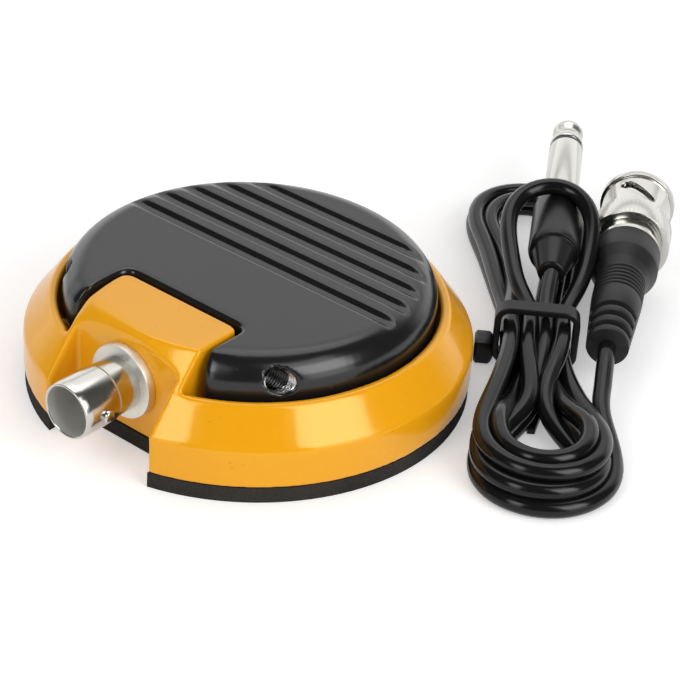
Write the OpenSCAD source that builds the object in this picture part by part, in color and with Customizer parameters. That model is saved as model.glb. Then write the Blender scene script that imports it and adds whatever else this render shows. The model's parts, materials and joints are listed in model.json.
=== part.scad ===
// Foot pedal switch: a round cast base on a foam pad, a hinged cast treadle,
// a bayonet jack at the front and a separate lead. Millimetres, +Z up,
// jack towards -Y, hinge along X, origin under the middle of the pad.

/* [Base casting] */
// Radius of the base at its upright band
base_r = 37.4; // [36.6:0.1:40]
// Height of the upright band above the pad
band_h = 6.8; // [5.5:0.1:8]
// Outer radius of the rim
rim_r = 33.2; // [33:0.1:34.4]
// Height of the rim above the pad
rim_h = 12.8; // [11.6:0.1:14]
// Width of the rounded rim
rim_w = 1; // [0.8:0.1:1.1]
// Thickness of the floor
floor_t = 2.5; // [2:0.1:3]
// Width of the front notch
notch_w = 21.8; // [20:0.1:23]
// Distance from the centre to the flat face that carries the jack
face_y = 29; // [28.4:0.1:29.6]
// Width of the jack block
block_w = 24.6; // [24:0.1:26]
// Height of the jack block above the pad
block_h = 18.6; // [18:0.1:19.2]
// Distance from the centre to the block's back
block_back = 16.6; // [16:0.1:17]
// Radius of the block's back corners
block_corner_r = 1.6; // [0.8:0.1:2.4]
// Thickness of the wall that the jack passes through
panel_t = 3; // [2.4:0.1:3.4]
// Width of the hollow behind the jack
hollow_w = 16.4; // [15.6:0.1:16.8]
// Thickness of the roof over the hollow
roof_t = 2.5; // [2:0.1:2.8]

/* [Pad] */
// Thickness of the foam pad
pad_t = 2.7; // [2:0.1:4]
// Inset of the pad's edge from the base
pad_inset = 0.2; // [0:0.05:0.6]

/* [Treadle] */
// Running gap between the treadle and the rim
edge_gap = 1.3; // [1:0.1:1.6]
// Height of the treadle's top above the pad
pedal_top_h = 18.8; // [18.4:0.1:19.4]
// Radius of the treadle's rounded edge
pedal_edge_r = 5; // [3.5:0.1:5.5]
// Height of the treadle from its skirt to its top
pedal_depth = 9; // [8.6:0.1:9.4]
// Wall thickness of the treadle's skirt
skirt_t = 2.5; // [2:0.1:3]
// Thickness of the treadle's top
deck_t = 2.5; // [2.2:0.1:2.8]
// Gap between the treadle and the block's sides
side_gap = 0.6; // [0.4:0.05:0.8]
// Gap between the treadle and the block's back
back_gap = 0.9; // [0.7:0.05:1.1]
// Radius of the notch corners in the treadle
notch_corner_r = 2; // [1:0.1:2.4]
// Radius of the lobes' front corners
lobe_corner_r = 2; // [1.6:0.1:5]
// Solid depth of the lobes behind the notch
lobe_back = 2.2; // [2:0.1:2.6]
// Number of grip grooves
groove_count = 5; // [3:1:5]
// Distance of the first groove behind the centre
groove_y = 1.55; // [1:0.05:2.5]
// Spacing of the grooves
groove_pitch = 4.93; // [4.6:0.01:5]
// Radius of the groove's round bottom
groove_r = 1.4; // [1.1:0.05:1.5]
// Depth of the grooves
groove_d = 1.2; // [0.8:0.05:1.3]
// Radius of the circle that the groove ends lie on
groove_end_r = 26.3; // [25:0.1:27]

/* [Hinge] */
// Distance from the centre forward to the hinge
hinge_y = 19.3; // [19:0.1:19.8]
// Height of the hinge above the pad
hinge_h = 15.1; // [14.8:0.1:15.3]
// Radius of the threaded pivot holes
pivot_r = 2; // [1.9:0.05:2.6]
// Length of the pivot screws' threaded part
pivot_l = 6; // [5:0.1:6.5]
// Radius of the pivot screws' dog points
dog_r = 1.25; // [1.1:0.05:1.7]
// Depth that the dog points enter the block
dog_in = 2.8; // [2.2:0.1:3]
// Running clearance round the dog points
pivot_clear = 0.05; // [0.02:0.01:0.1]
// Clearance of a screw in its thread
thread_gap = 0.03; // [0.01:0.01:0.05]
// Width across the pivot screws' key sockets
key_af = 2; // [1.6:0.1:2.4]
// Depth of the pivot screws' key sockets
key_d = 2.5; // [1.5:0.1:3]
// Gap between the lobes and the ledge they rest over
ledge_gap = 0.1; // [0.05:0.01:0.2]

/* [Switch] */
// Distance of the contact behind the centre
contact_y = 8; // [7:0.1:9]
// Downward swing of the treadle in degrees
travel = 3; // [2:0.1:3.2]
// Gap left at the contact when the treadle is down
contact_spare = 0.1; // [0.05:0.01:0.2]
// Radius of the contact screw
contact_screw_r = 1.25; // [1:0.05:1.5]
// Radius of the boss that holds the contact screw
boss_r = 4; // [3.6:0.1:4.2]
// Length of that boss below the deck
boss_l = 3; // [2.6:0.1:3.4]
// Length of the contact screw inside its boss
contact_screw_in = 3; // [2.4:0.1:3.4]
// Width across the lock nut's flats
lock_nut_af = 5.5; // [5:0.1:6]
// Thickness of the lock nut
lock_nut_t = 1.8; // [1.4:0.1:2]
// Width of the insulating board
board_w = 18; // [17:0.5:20]
// Length of the insulating board
board_l = 18; // [17:0.5:20]
// Thickness of the insulating board
board_t = 1.6; // [1:0.1:2]
// Distance of the board's middle behind the centre
board_y = 3.6; // [3:0.1:4.2]
// Distance of the board screws from the middle
board_screw_x = 6.4; // [6:0.1:7]
// Radius of the small screws
small_screw_r = 1.2; // [1:0.05:1.4]
// Depth of the small screws in the casting
small_screw_in = 1.8; // [1.4:0.1:1.9]
// Radius of the small screws' heads
small_head_r = 2.2; // [1.8:0.1:2.4]
// Height of the small screws' heads
small_head_h = 1.2; // [0.8:0.1:1.6]
// Width of the contact strip
strip_w = 4; // [3:0.1:5]
// Thickness of the contact strip
strip_t = 0.5; // [0.4:0.05:0.8]
// Length of the contact strip in front of the contact
strip_l = 12.6; // [11:0.1:13]
// Radius of the contact button
button_r = 1.6; // [1.2:0.1:2]
// Height of the contact button
button_h = 0.4; // [0.3:0.05:0.6]

/* [Return spring] */
// Distance of the spring behind the centre
spring_y = 18; // [17.8:0.1:19]
// Radius of the spring's coils at the wire's middle
coil_r = 3.6; // [3.4:0.1:3.7]
// Radius of the spring's wire
wire_r = 0.4; // [0.35:0.01:0.45]
// Number of coils
coils = 5.5; // [4.5:0.5:6]
// Thickness of the spring's seat
seat_t = 0.6; // [0.4:0.05:0.8]
// Outer radius of the spring's seat
seat_r = 4.6; // [4.3:0.1:4.6]
// Length of the solder tab on the spring's seat
seat_tab_l = 4; // [3:0.1:5]
// Height of the posts that guide the spring
post_h = 2.4; // [1.5:0.1:3]
// Clearance between the posts and the coils
post_gap = 0.6; // [0.5:0.05:0.7]
// Clearance at each end of the spring
spring_gap = 0.05; // [0.02:0.01:0.1]

/* [Jack] */
// Height of the jack's axis above the pad
jack_h = 9.4; // [9.2:0.1:9.6]
// Radius of the jack's barrel
barrel_r = 4.8; // [4.7:0.01:4.85]
// Length of the barrel in front of the flange
barrel_l = 11.8; // [11:0.1:13]
// Length of the barrel's nose, which carries the lugs
nose_l = 7.2; // [6.8:0.1:8]
// Radius of the barrel behind its nose
waist_r = 4.55; // [4.5:0.05:4.7]
// Radius of the barrel's bore
socket_r = 4.06; // [4.05:0.01:4.2]
// Depth of the barrel's bore
socket_d = 8; // [7.6:0.1:8.5]
// Radius of the flange
flange_r = 6.3; // [5.8:0.1:6.8]
// Thickness of the flange
flange_t = 1.6; // [1.2:0.1:2]
// Radius of the bayonet lugs
lug_r = 1; // [0.9:0.05:1.1]
// Reach of the bayonet lugs from the axis
lug_reach = 5.5; // [5.3:0.05:5.6]
// Distance of the lugs from the barrel's mouth
lug_y = 4.2; // [3.6:0.1:5.6]
// Turn of the lugs round the axis in degrees
lug_turn = 5; // [0:5:90]
// Radius of the jack's threaded tail
tail_r = 4.5; // [4.3:0.05:4.6]
// Length of the threaded tail
tail_l = 8.4; // [8:0.1:8.6]
// Clearance round the tail in the panel
tail_gap = 0.1; // [0.05:0.01:0.2]
// Radius of the jack's insulator
core_r = 3.2; // [2.8:0.05:3.4]
// Length that the insulator stands into the bore
core_out = 1; // [0.6:0.1:1.6]
// Length that the insulator stands out behind
core_back = 0.8; // [0.5:0.1:1]
// Radius of the centre contact
tube_r = 1.1; // [0.9:0.05:1.3]
// Radius of the centre contact's hole
tube_hole_r = 0.7; // [0.6:0.05:0.75]
// Depth of the centre contact behind the mouth
tube_in = 4.4; // [4.2:0.1:5]
// Length that the centre contact stands out behind
tube_back = 1.8; // [1.4:0.1:2]
// Radius of the lock washer
washer_r = 6.2; // [5.8:0.1:6.3]
// Thickness of the lock washer
washer_t = 0.6; // [0.4:0.05:0.8]
// Radius of the ground tag's ring
tag_r = 6; // [5.6:0.1:6.2]
// Thickness of the ground tag
tag_t = 0.5; // [0.4:0.05:0.6]
// Width of the ground tag's bent tab
tab_w = 3; // [2.4:0.1:3.4]
// Length of the ground tag's bent tab
tab_l = 6.4; // [6:0.1:6.6]
// Width across the jack nut's flats
jack_nut_af = 12; // [11.4:0.1:12]
// Thickness of the jack nut
jack_nut_t = 2.4; // [2:0.1:2.8]

/* [Lead plugs] */
// Radius of the phone plug's sleeve
phone_r = 3.17; // [3.1:0.01:3.2]
// Length of the phone plug's bare shaft
phone_l = 31; // [29:0.1:32]
// Radius of the phone plug's moulded handle
handle_r = 4.6; // [4.3:0.1:4.8]
// Length of the phone plug's moulded handle
handle_l = 20; // [18:0.5:22]
// Radius of the bayonet plug's knurled coupling
coupling_r = 7.2; // [7:0.05:7.3]
// Radius of the coupling's front sleeve
coupling_front_r = 6.3; // [6:0.05:6.6]
// Length of the coupling
coupling_l = 17; // [16:0.1:18]
// Length of the coupling's knurled part
knurl_l = 6; // [5:0.1:7]
// Clearance between a barrel and the coupling
mate_gap = 0.15; // [0.1:0.01:0.2]
// Running clearance between the coupling and the plug's body
turn_gap = 0.05; // [0.03:0.01:0.1]
// Radius of the plug's inner shell
inner_shell_r = 3.95; // [3.9:0.01:4]
// Radius of the plug body behind the coupling
body_r = 5.9; // [5.6:0.05:6]
// Length of the plug body behind the coupling
body_l = 3; // [2.4:0.1:4]
// Radius of the boot where it meets the plug
boot_r = 6; // [5.9:0.05:6.2]
// Radius of the boot at the cord
boot_tail_r = 3.6; // [3.4:0.05:3.8]
// Radius of the boot's slim middle
boot_mid_r = 4.4; // [4.2:0.05:4.6]
// Length of the boot
boot_l = 32; // [30:0.5:34]
// Length of the boot's thick head
boot_head_l = 6.4; // [5.6:0.1:7]
// Number of flex grooves at the boot's tail
boot_slots = 3; // [2:1:4]
// Number of fine grip rings round the boot's middle
boot_rings = 6; // [4:1:7]
// Width of the coupling's bayonet slots
bayonet_w = 2.3; // [2.1:0.05:2.5]
// Length of the coupling's bayonet slots
bayonet_l = 8; // [7:0.1:8.4]
// Slant of the bayonet slots in degrees
bayonet_slant = 48; // [30:1:60]

/* [Lead cord] */
// Radius of the cord
cord_r = 1.5; // [1.4:0.05:1.6]
// Height of the hank at the tie
hank_h = 11.2; // [10.8:0.1:11.8]
// Height of the hank's near loops
near_h = 9.2; // [9:0.1:10]
// Height of the hank's far loops, which the phone plug lies on
far_h = 6; // [5.8:0.1:6.4]
// Width of the hank at the tie
waist_w = 14.4; // [13.6:0.1:15]
// Width of the tie's band
tie_w = 3.2; // [2.4:0.1:4]
// Thickness of the tie's band
tie_t = 1.1; // [0.8:0.05:1.3]
// Length of the tie's loose tail
tie_tail = 22; // [16:0.5:26]
// Side of the tie's square head
tie_head = 4.4; // [4:0.1:5]
// Depth of the tie's head
tie_head_d = 3; // [2.4:0.1:3.4]

/* [Hidden] */
$fn = 64;
// overshoot of a cutter past the face it opens
cut = 1;
// clearance of a piece pushed into a bore
fit_gap = 0.02;

// heights above the ground
base_z = pad_t;
floor_z = base_z + floor_t;
block_z = base_z + block_h;
hinge_z = base_z + hinge_h;
jack_z = base_z + jack_h;
pedal_z = base_z + pedal_top_h;
skirt_z = pedal_z - pedal_depth;
deck_z = pedal_z - deck_t;
ledge_z = skirt_z - ledge_gap;

// radii and slopes that follow from the driving sizes
bowl_r = rim_r - rim_w;
pedal_r = bowl_r - edge_gap;
rim_c = rim_h - rim_w / 2;
cone_k = (base_r - rim_r) / (rim_c - band_h);
pedal_notch_w = block_w + 2 * side_gap;
pedal_notch_y = -block_back + back_gap;
lobe_y = pedal_notch_y + lobe_back;
lobe_over = 0.3;
lobe_cx = pedal_notch_w / 2 + lobe_corner_r;
lobe_cr = pedal_r - lobe_corner_r + lobe_over;
lobe_cy = -sqrt(lobe_cr * lobe_cr - lobe_cx * lobe_cx);
lobe_k = (pedal_r + cut) / lobe_cr;
socket_l = dog_in + 0.3;
pivot_x = pedal_notch_w / 2 + 0.4;
pivot_out = pivot_x + pivot_l;
ledge_y = -hinge_y - 0.6;
ledge_x = 15;
ledge_w = 5;

// switch stack from the floor up
board_top = floor_z + board_t;
strip_top = board_top + strip_t;
contact_lever = contact_y + hinge_y;
contact_drop = contact_lever * sin(travel);
tip_z = strip_top + button_h + contact_drop + contact_spare;
boss_z = deck_z - boss_l;
screw_top = boss_z + contact_screw_in;
board_screw_y = board_y - board_l / 2 + small_head_r + 0.6;
strip_y = contact_y - strip_l;
strip_end = 2.4;
slot_w = 0.6;
slot_d = 0.5;

// return spring
seat_top = floor_z + seat_t;
spring_z0 = seat_top + spring_gap;
spring_h = deck_z - spring_gap - spring_z0;
post_r = coil_r - wire_r - post_gap;
seat_hole_r = post_r + 0.1;
flat_coil = 0.4;
coil_steps = 14;
seat_tab_w = 2.4;

// jack stations along Y, from the mouth to the tail
flange_y = -face_y - flange_t;
mouth_y = flange_y - barrel_l;
panel_y = -face_y + panel_t;
tail_y = -face_y + tail_l;
core_y = mouth_y + socket_d - core_out;
tube_y = mouth_y + tube_in;
tube_hole_l = 5;
cup_y = tail_y + core_back + tube_back;
tag_y = panel_y + washer_t;
nut_y = tag_y + tag_t;
tab_x = jack_nut_af / sqrt(3) + 0.2;
tab_y = tag_y + tab_l;

// lead: its own frame has +X along the hank and +Y to the left
lead_x = 32.8;
lead_y = 36.6;
lead_turn = 125;
waist_l = 12;
near_x = -33.2;
near_y = -1.8;
near_r = 12.2;
near_eye_r = 5.6;
near_eye_x = -12;
far_x = 46.5;
far_y = 2;
far_r = 11.6;
waist_x0 = -9;
waist_x1 = 8;
loop_x = 6;
loop_y = -1.8;
loop_z = 8.6;
loop_rise = 16;
loop_l = 22;
loop_r = 7;
tail_gap_w = 0.3;
tail_point_l = 5;
tail_point_w = 1.4;
tie_in_w = waist_w - 2 * tie_t;
tie_in_h = hank_h - 2 * tie_t;

// phone plug, along its own axis from the cord to the tip
phone_x = 12;
phone_y = -2;
phone_turn = -3;
phone_gap = 0.4;
lie_gap = 0.1;
phone_z = far_h + lie_gap + handle_r;
handle_edge = 0.6;
relief_l = 7;
relief_r = 2.3;
relief_end_r = 3.8;
handle_z = relief_l;
shaft_z = handle_z + handle_l;
tip_l = 10.5;
ring_l = 1;
sleeve_l = phone_l - tip_l - ring_l;
ring_r = phone_r - 0.1;
tip_neck_r = 2.3;
tip_ball_r = 3.05;
tip_end_r = 1.1;
tip_shoulder = 2;
tip_neck = 4.2;
tip_ball = 6.6;

// bayonet plug, along its own axis from the cord to the nose
plug_x = -4.5;
plug_y = -11.8;
plug_turn = -7;
boot_neck_l = 4;
boot_slot_w = 1.5;
boot_slot_d = 0.9;
boot_slot_step = 3;
boot_ring_w = 0.6;
boot_ring_d = 0.4;
boot_ring_step = 1.2;
boot_ring_z = boot_l - boot_head_l - boot_neck_l - boot_rings * boot_ring_step;
body_z = boot_l;
coupling_z = body_z + body_l;
nose_z = coupling_z + coupling_l;
coupling_bore_r = barrel_r + mate_gap;
coupling_rim_r = 6.8;
coupling_rim_l = 1.6;
bayonet_z = (coupling_z + knurl_l + nose_z - coupling_rim_l) / 2;
wall_l = 2.4;
neck_r = 4.3;
shell_bore_r = 3.3;
shell_in = 1;
shell_z = nose_z - shell_in;
core_face = 5;
pin_r = 0.65;
pin_in = 2;

// routes of the cord's two ends and of the two inner wires
tube_n = 8;
wire_lead_r = 0.6;
cord_sink = 0.1;
plug_route = [[-4.5, -11.8, 7.2], [-7, -11.6, 7], [-10, -11.4, 6.4], [-13, -11.2, 5.6], [-16, -11, 4.9],
    [-19, -10.7, 4.3]];
phone_route = [[12, -2, 10.7], [10.5, -1.9, 10.5], [9, -1.7, 10.1], [7, -1.4, 9.4]];
wire_end_z = strip_top + wire_lead_r - cord_sink;
signal_route = [[0, cup_y, jack_z], [0, cup_y + 0.7, jack_z - 0.4], [0, cup_y + 1.6, jack_z - 1.5],
    [0, cup_y + 3, jack_z - 2.6], [0, cup_y + 6, jack_z - 3.4], [0, strip_y - 2, wire_end_z + 0.2],
    [0, strip_y + 0.4, wire_end_z], [0, strip_y + 2.4, wire_end_z]];
tab_mid = -tab_x - tag_t / 2;
seat_wire_z = seat_top + wire_lead_r - cord_sink;
seat_tab_x = -seat_r - seat_tab_l;
ground_route = [[tab_mid, tab_y, jack_z], [tab_mid, tab_y + 0.7, jack_z - 0.5],
    [tab_mid, tab_y + 1.8, jack_z - 1.8], [tab_mid, tab_y + 3.6, jack_z - 3.4],
    [tab_mid - 1, tab_y + 6, jack_z - 4.6], [tab_mid - 3, tab_y + 9, jack_z - 5.4],
    [-12, -4, seat_wire_z], [-12.6, 4, seat_wire_z], [-12, 11, seat_wire_z], [-10.4, 15, seat_wire_z],
    [seat_tab_x + 0.6, spring_y - 0.6, seat_wire_z], [seat_tab_x + 2.4, spring_y, seat_wire_z]];

// a swept round tube through a list of points
function dir(p, i) = let(a = p[max(i - 1, 0)], b = p[min(i + 1, len(p) - 1)]) (b - a) / norm(b - a);
function side_of(d) = let(s = cross(d, [0, 0, 1])) s / norm(s);
function ring_pts(c, d, r) = let(s = side_of(d), u = cross(s, d))
    [for (k = [0:tube_n - 1]) c + r * (cos(360 * k / tube_n) * s + sin(360 * k / tube_n) * u)];
module tube(p, r) {
    m = len(p);
    pts = [for (i = [0:m - 1]) each ring_pts(p[i], dir(p, i), r)];
    caps = [[for (k = [0:tube_n - 1]) k], [for (k = [tube_n - 1:-1:0]) (m - 1) * tube_n + k]];
    walls = [for (i = [0:m - 2]) for (k = [0:tube_n - 1])
        let(j = (k + 1) % tube_n, a = i * tube_n, b = a + tube_n)
        each [[a + j, a + k, b + k], [a + j, b + k, b + j]]];
    polyhedron(points = pts, faces = concat(caps, walls), convexity = 8);
}

// local +Z turned to point back along +Y, at height z
module along_y(y, z) {
    translate([0, y, z]) rotate([-90, 0, 0]) children();
}

// local +Z turned to point outwards along X on one side
module along_x(side, x, y, z) {
    translate([side * x, y, z]) rotate([0, side * 90, 0]) children();
}

module lead_frame() {
    translate([lead_x, lead_y, 0]) rotate([0, 0, lead_turn]) children();
}

module phone_frame() {
    lead_frame() translate([phone_x, phone_y, phone_z])
        rotate([0, 0, phone_turn]) rotate([0, 90, 0]) children();
}

module plug_frame() {
    lead_frame() translate([plug_x, plug_y, coupling_r])
        rotate([0, 0, plug_turn]) rotate([0, 90, 0]) children();
}

// a slot open to the front with a rounded back, centred on X = 0
module front_slot(w, back, r) {
    translate([-w / 2, -base_r]) square([w, base_r + back - r]);
    translate([-w / 2 + r, -base_r]) square([w - 2 * r, base_r + back]);
    for (side = [-1, 1])
        translate([side * (w / 2 - r), back - r]) circle(r = r);
}

module base_profile() {
    polygon([[0, 0], [base_r, 0], [base_r, band_h], [rim_r, rim_c], [bowl_r, rim_c], [bowl_r, floor_t],
        [0, floor_t]]);
    translate([rim_r - rim_w / 2, rim_c]) circle(r = rim_w / 2);
}

module jack_block() {
    intersection() {
        linear_extrude(height = block_h) front_slot(block_w, -block_back, block_corner_r);
        union() {
            cylinder(r = base_r, h = band_h);
            translate([0, 0, band_h])
                cylinder(r1 = base_r, r2 = base_r - cone_k * (block_h - band_h), h = block_h - band_h);
        }
    }
}

module ledges() {
    intersection() {
        cylinder(r = bowl_r + rim_w / 2, h = ledge_z);
        for (side = [-1, 1])
            translate([side * (ledge_x + ledge_w / 2) - ledge_w / 2, -base_r, base_z + floor_t / 2])
                cube([ledge_w, base_r + ledge_y, ledge_z - base_z - floor_t / 2]);
    }
}

module base_casting() {
    color("orange") difference() {
        union() {
            translate([0, 0, base_z]) rotate_extrude() base_profile();
            translate([0, 0, base_z]) jack_block();
            ledges();
            translate([0, spring_y, base_z]) cylinder(r = post_r, h = floor_t + seat_t + post_h);
        }
        translate([-notch_w / 2, -base_r - cut, base_z - cut])
            cube([notch_w, base_r + cut - face_y, block_h + 2 * cut]);
        translate([-hollow_w / 2, panel_y, floor_z])
            cube([hollow_w, cut - block_back - panel_y, block_z - roof_t - floor_z]);
        along_y(-face_y - cut, jack_z) cylinder(r = tail_r + tail_gap, h = panel_t + 2 * cut);
        for (side = [-1, 1]) {
            along_x(side, block_w / 2 - socket_l, -hinge_y, hinge_z)
                cylinder(r = dog_r + pivot_clear, h = socket_l + cut);
            translate([side * board_screw_x, board_screw_y, floor_z - small_screw_in])
                cylinder(r = small_screw_r + thread_gap, h = small_screw_in + cut);
        }
    }
}

module floor_pad() {
    color("dimgray") linear_extrude(height = pad_t) difference() {
        circle(r = base_r - pad_inset);
        translate([-notch_w / 2, -base_r - cut]) square([notch_w, base_r + cut - face_y]);
    }
}

module jack_shell() {
    color("silver") difference() {
        union() {
            along_y(mouth_y, jack_z) cylinder(r = barrel_r, h = nose_l);
            along_y(mouth_y, jack_z) cylinder(r = waist_r, h = barrel_l);
            along_y(flange_y, jack_z) cylinder(r = flange_r, h = flange_t);
            along_y(-face_y, jack_z) cylinder(r = tail_r, h = tail_l);
            along_y(mouth_y + lug_y, jack_z) rotate([0, 0, lug_turn]) rotate([0, 90, 0])
                cylinder(r = lug_r, h = 2 * lug_reach, center = true);
        }
        along_y(mouth_y - cut, jack_z) cylinder(r = socket_r, h = socket_d + cut);
        along_y(mouth_y, jack_z) cylinder(r = core_r + fit_gap, h = tail_y + cut - mouth_y);
    }
}

module jack_insulator() {
    color("white") along_y(core_y, jack_z) difference() {
        cylinder(r = core_r, h = tail_y + core_back - core_y);
        translate([0, 0, -cut]) cylinder(r = tube_r + fit_gap, h = tail_y + core_back - core_y + 2 * cut);
    }
}

module jack_contact() {
    color("gold") along_y(tube_y, jack_z) difference() {
        cylinder(r = tube_r, h = cup_y - tube_y);
        translate([0, 0, -cut]) cylinder(r = tube_hole_r, h = tube_hole_l + cut);
    }
}

module jack_washer() {
    color("silver") along_y(panel_y, jack_z) linear_extrude(height = washer_t) difference() {
        circle(r = washer_r);
        circle(r = tail_r + tail_gap);
    }
}

module ground_tag() {
    color("khaki") {
        along_y(tag_y, jack_z) linear_extrude(height = tag_t) difference() {
            union() {
                circle(r = tag_r);
                translate([-tab_x - tag_t, -tab_w / 2]) square([tab_x + tag_t, tab_w]);
            }
            circle(r = tail_r + tail_gap);
        }
        translate([-tab_x - tag_t, tag_y, jack_z - tab_w / 2]) cube([tag_t, tab_l, tab_w]);
    }
}

module jack_nut() {
    color("silver") along_y(nut_y, jack_z) difference() {
        cylinder(r = jack_nut_af / sqrt(3), h = jack_nut_t, $fn = 6);
        translate([0, 0, -cut]) cylinder(r = tail_r + thread_gap, h = jack_nut_t + 2 * cut);
    }
}

module contact_board() {
    color("saddlebrown") difference() {
        translate([-board_w / 2, board_y - board_l / 2, floor_z]) cube([board_w, board_l, board_t]);
        for (side = [-1, 1])
            translate([side * board_screw_x, board_screw_y, floor_z - cut])
                cylinder(r = small_screw_r + thread_gap, h = board_t + 2 * cut);
    }
}

module fixed_contact() {
    color("gold") {
        translate([-strip_w / 2, strip_y, board_top]) cube([strip_w, strip_l + strip_end, strip_t]);
        translate([0, contact_y, board_top]) cylinder(r = button_r, h = strip_t + button_h);
    }
}

module board_screws() {
    color("silver") for (side = [-1, 1])
        translate([side * board_screw_x, board_screw_y, 0]) difference() {
            union() {
                translate([0, 0, floor_z - small_screw_in])
                    cylinder(r = small_screw_r, h = small_screw_in + board_t + small_head_h);
                translate([0, 0, board_top]) cylinder(r = small_head_r, h = small_head_h);
            }
            translate([-small_head_r - cut, -slot_w / 2, board_top + small_head_h - slot_d])
                cube([2 * small_head_r + 2 * cut, slot_w, slot_d + cut]);
        }
}

module spring_seat() {
    color("khaki") translate([0, spring_y, floor_z]) linear_extrude(height = seat_t) difference() {
        union() {
            circle(r = seat_r);
            translate([-seat_r - seat_tab_l, -seat_tab_w / 2]) square([seat_r + seat_tab_l, seat_tab_w]);
        }
        circle(r = seat_hole_r);
    }
}

// height of the coil's middle after u turns: flat end coils, even pitch between
function coil_share(u) = min(max((u - flat_coil) / (coils - 2 * flat_coil), 0), 1);
function coil_z(u) = wire_r + (spring_h - 2 * wire_r) * coil_share(u);

module return_spring() {
    color("silver") translate([0, spring_y, spring_z0])
        tube([for (i = [0:coils * coil_steps]) let(u = i / coil_steps)
            [coil_r * cos(360 * u), coil_r * sin(360 * u), coil_z(u)]], wire_r);
}

module signal_wire() {
    color("red") tube(signal_route, wire_lead_r);
}

module ground_wire() {
    color("black") tube(ground_route, wire_lead_r);
}

module treadle_profile() {
    translate([0, skirt_z]) square([pedal_r - pedal_edge_r, pedal_depth]);
    translate([0, skirt_z]) square([pedal_r, pedal_depth - pedal_edge_r]);
    intersection() {
        translate([pedal_r - pedal_edge_r, pedal_z - pedal_edge_r]) circle(r = pedal_edge_r);
        translate([0, pedal_z - pedal_edge_r]) square([pedal_r, pedal_edge_r]);
    }
}

module treadle_plan() {
    difference() {
        circle(r = base_r);
        front_slot(pedal_notch_w, pedal_notch_y, notch_corner_r);
        for (side = [-1, 1])
            polygon([[side * (pedal_notch_w / 2 - cut), lobe_cy], [side * lobe_cx, lobe_cy],
                [side * lobe_cx * lobe_k, lobe_cy * lobe_k], [side * lobe_cx * lobe_k, -base_r - cut],
                [side * (pedal_notch_w / 2 - cut), -base_r - cut]]);
    }
    for (side = [-1, 1])
        translate([side * lobe_cx, lobe_cy]) circle(r = lobe_corner_r);
}

module groove(y) {
    half = sqrt(groove_end_r * groove_end_r - y * y) - groove_r;
    translate([0, y, pedal_z + groove_r - groove_d]) rotate([0, 90, 0]) rotate_extrude() intersection() {
        union() {
            translate([0, -half]) square([groove_r, 2 * half]);
            for (side = [-1, 1])
                translate([0, side * half]) circle(r = groove_r);
        }
        translate([0, -pedal_r]) square([groove_r + cut, 2 * pedal_r]);
    }
}

module treadle() {
    color("dimgray") difference() {
        union() {
            difference() {
                intersection() {
                    rotate_extrude() treadle_profile();
                    linear_extrude(height = pedal_z + cut) treadle_plan();
                }
                intersection() {
                    translate([0, 0, skirt_z - cut])
                        cylinder(r = pedal_r - skirt_t, h = deck_z - skirt_z + cut);
                    translate([-base_r, lobe_y, 0]) cube([2 * base_r, 2 * base_r, pedal_z]);
                }
            }
            translate([0, contact_y, boss_z]) cylinder(r = boss_r, h = boss_l + deck_t / 4);
            translate([0, spring_y, deck_z - post_h]) cylinder(r = post_r, h = post_h + deck_t / 4);
        }
        for (i = [0:groove_count - 1])
            groove(groove_y + i * groove_pitch);
        for (side = [-1, 1])
            along_x(side, pedal_notch_w / 2 - cut, -hinge_y, hinge_z)
                cylinder(r = pivot_r + thread_gap, h = pedal_r);
        translate([0, contact_y, boss_z - cut])
            cylinder(r = contact_screw_r + thread_gap, h = contact_screw_in + cut);
    }
}

module pivot_screw(side) {
    color("silver") difference() {
        union() {
            along_x(side, pivot_x, -hinge_y, hinge_z) cylinder(r = pivot_r, h = pivot_l);
            along_x(side, block_w / 2 - dog_in, -hinge_y, hinge_z)
                cylinder(r = dog_r, h = pivot_x + dog_in - block_w / 2 + key_d / 4);
        }
        along_x(side, pivot_out - key_d, -hinge_y, hinge_z)
            cylinder(r = key_af / sqrt(3), h = key_d + cut, $fn = 6);
    }
}

module pivot_screw_left() {
    pivot_screw(-1);
}

module pivot_screw_right() {
    pivot_screw(1);
}

module contact_screw() {
    color("gold") translate([0, contact_y, 0]) {
        translate([0, 0, tip_z + contact_screw_r])
            cylinder(r = contact_screw_r, h = screw_top - tip_z - contact_screw_r);
        translate([0, 0, tip_z + contact_screw_r]) sphere(r = contact_screw_r);
    }
}

module contact_lock_nut() {
    color("silver") translate([0, contact_y, boss_z - lock_nut_t]) difference() {
        cylinder(r = lock_nut_af / sqrt(3), h = lock_nut_t, $fn = 6);
        translate([0, 0, -cut]) cylinder(r = contact_screw_r + thread_gap, h = lock_nut_t + 2 * cut);
    }
}

module hank_plan() {
    difference() {
        union() {
            translate([near_x, near_y]) circle(r = near_r);
            translate([far_x, far_y]) circle(r = far_r);
            polygon([[near_x, near_y + near_r], [-waist_l / 2, waist_w / 2], [waist_l / 2, waist_w / 2],
                [far_x, far_y + far_r], [far_x, far_y - far_r], [waist_l / 2, -waist_w / 2],
                [-waist_l / 2, -waist_w / 2], [near_x, near_y - near_r]]);
        }
        translate([near_x, near_y]) circle(r = near_eye_r);
        polygon([[near_x, near_y + near_eye_r], [near_eye_x, near_eye_r / 4], [near_eye_x, -near_eye_r / 4],
            [near_x, near_y - near_eye_r]]);
    }
}

// one stretch of the hank between two stations, at its own height
module hank_stretch(x0, x1, h) {
    linear_extrude(height = h) intersection() {
        hank_plan();
        translate([x0, -2 * far_r]) square([x1 - x0, 4 * far_r]);
    }
}

// a flat U with a round end, r wide on each side of its middle line
module loop_plan(r) {
    translate([loop_l, 0]) circle(r = loop_r + r);
    start = loop_r - cord_r + r;
    polygon([[0, start], [loop_l, loop_r + r], [loop_l, -loop_r - r], [0, -start]]);
}

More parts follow.
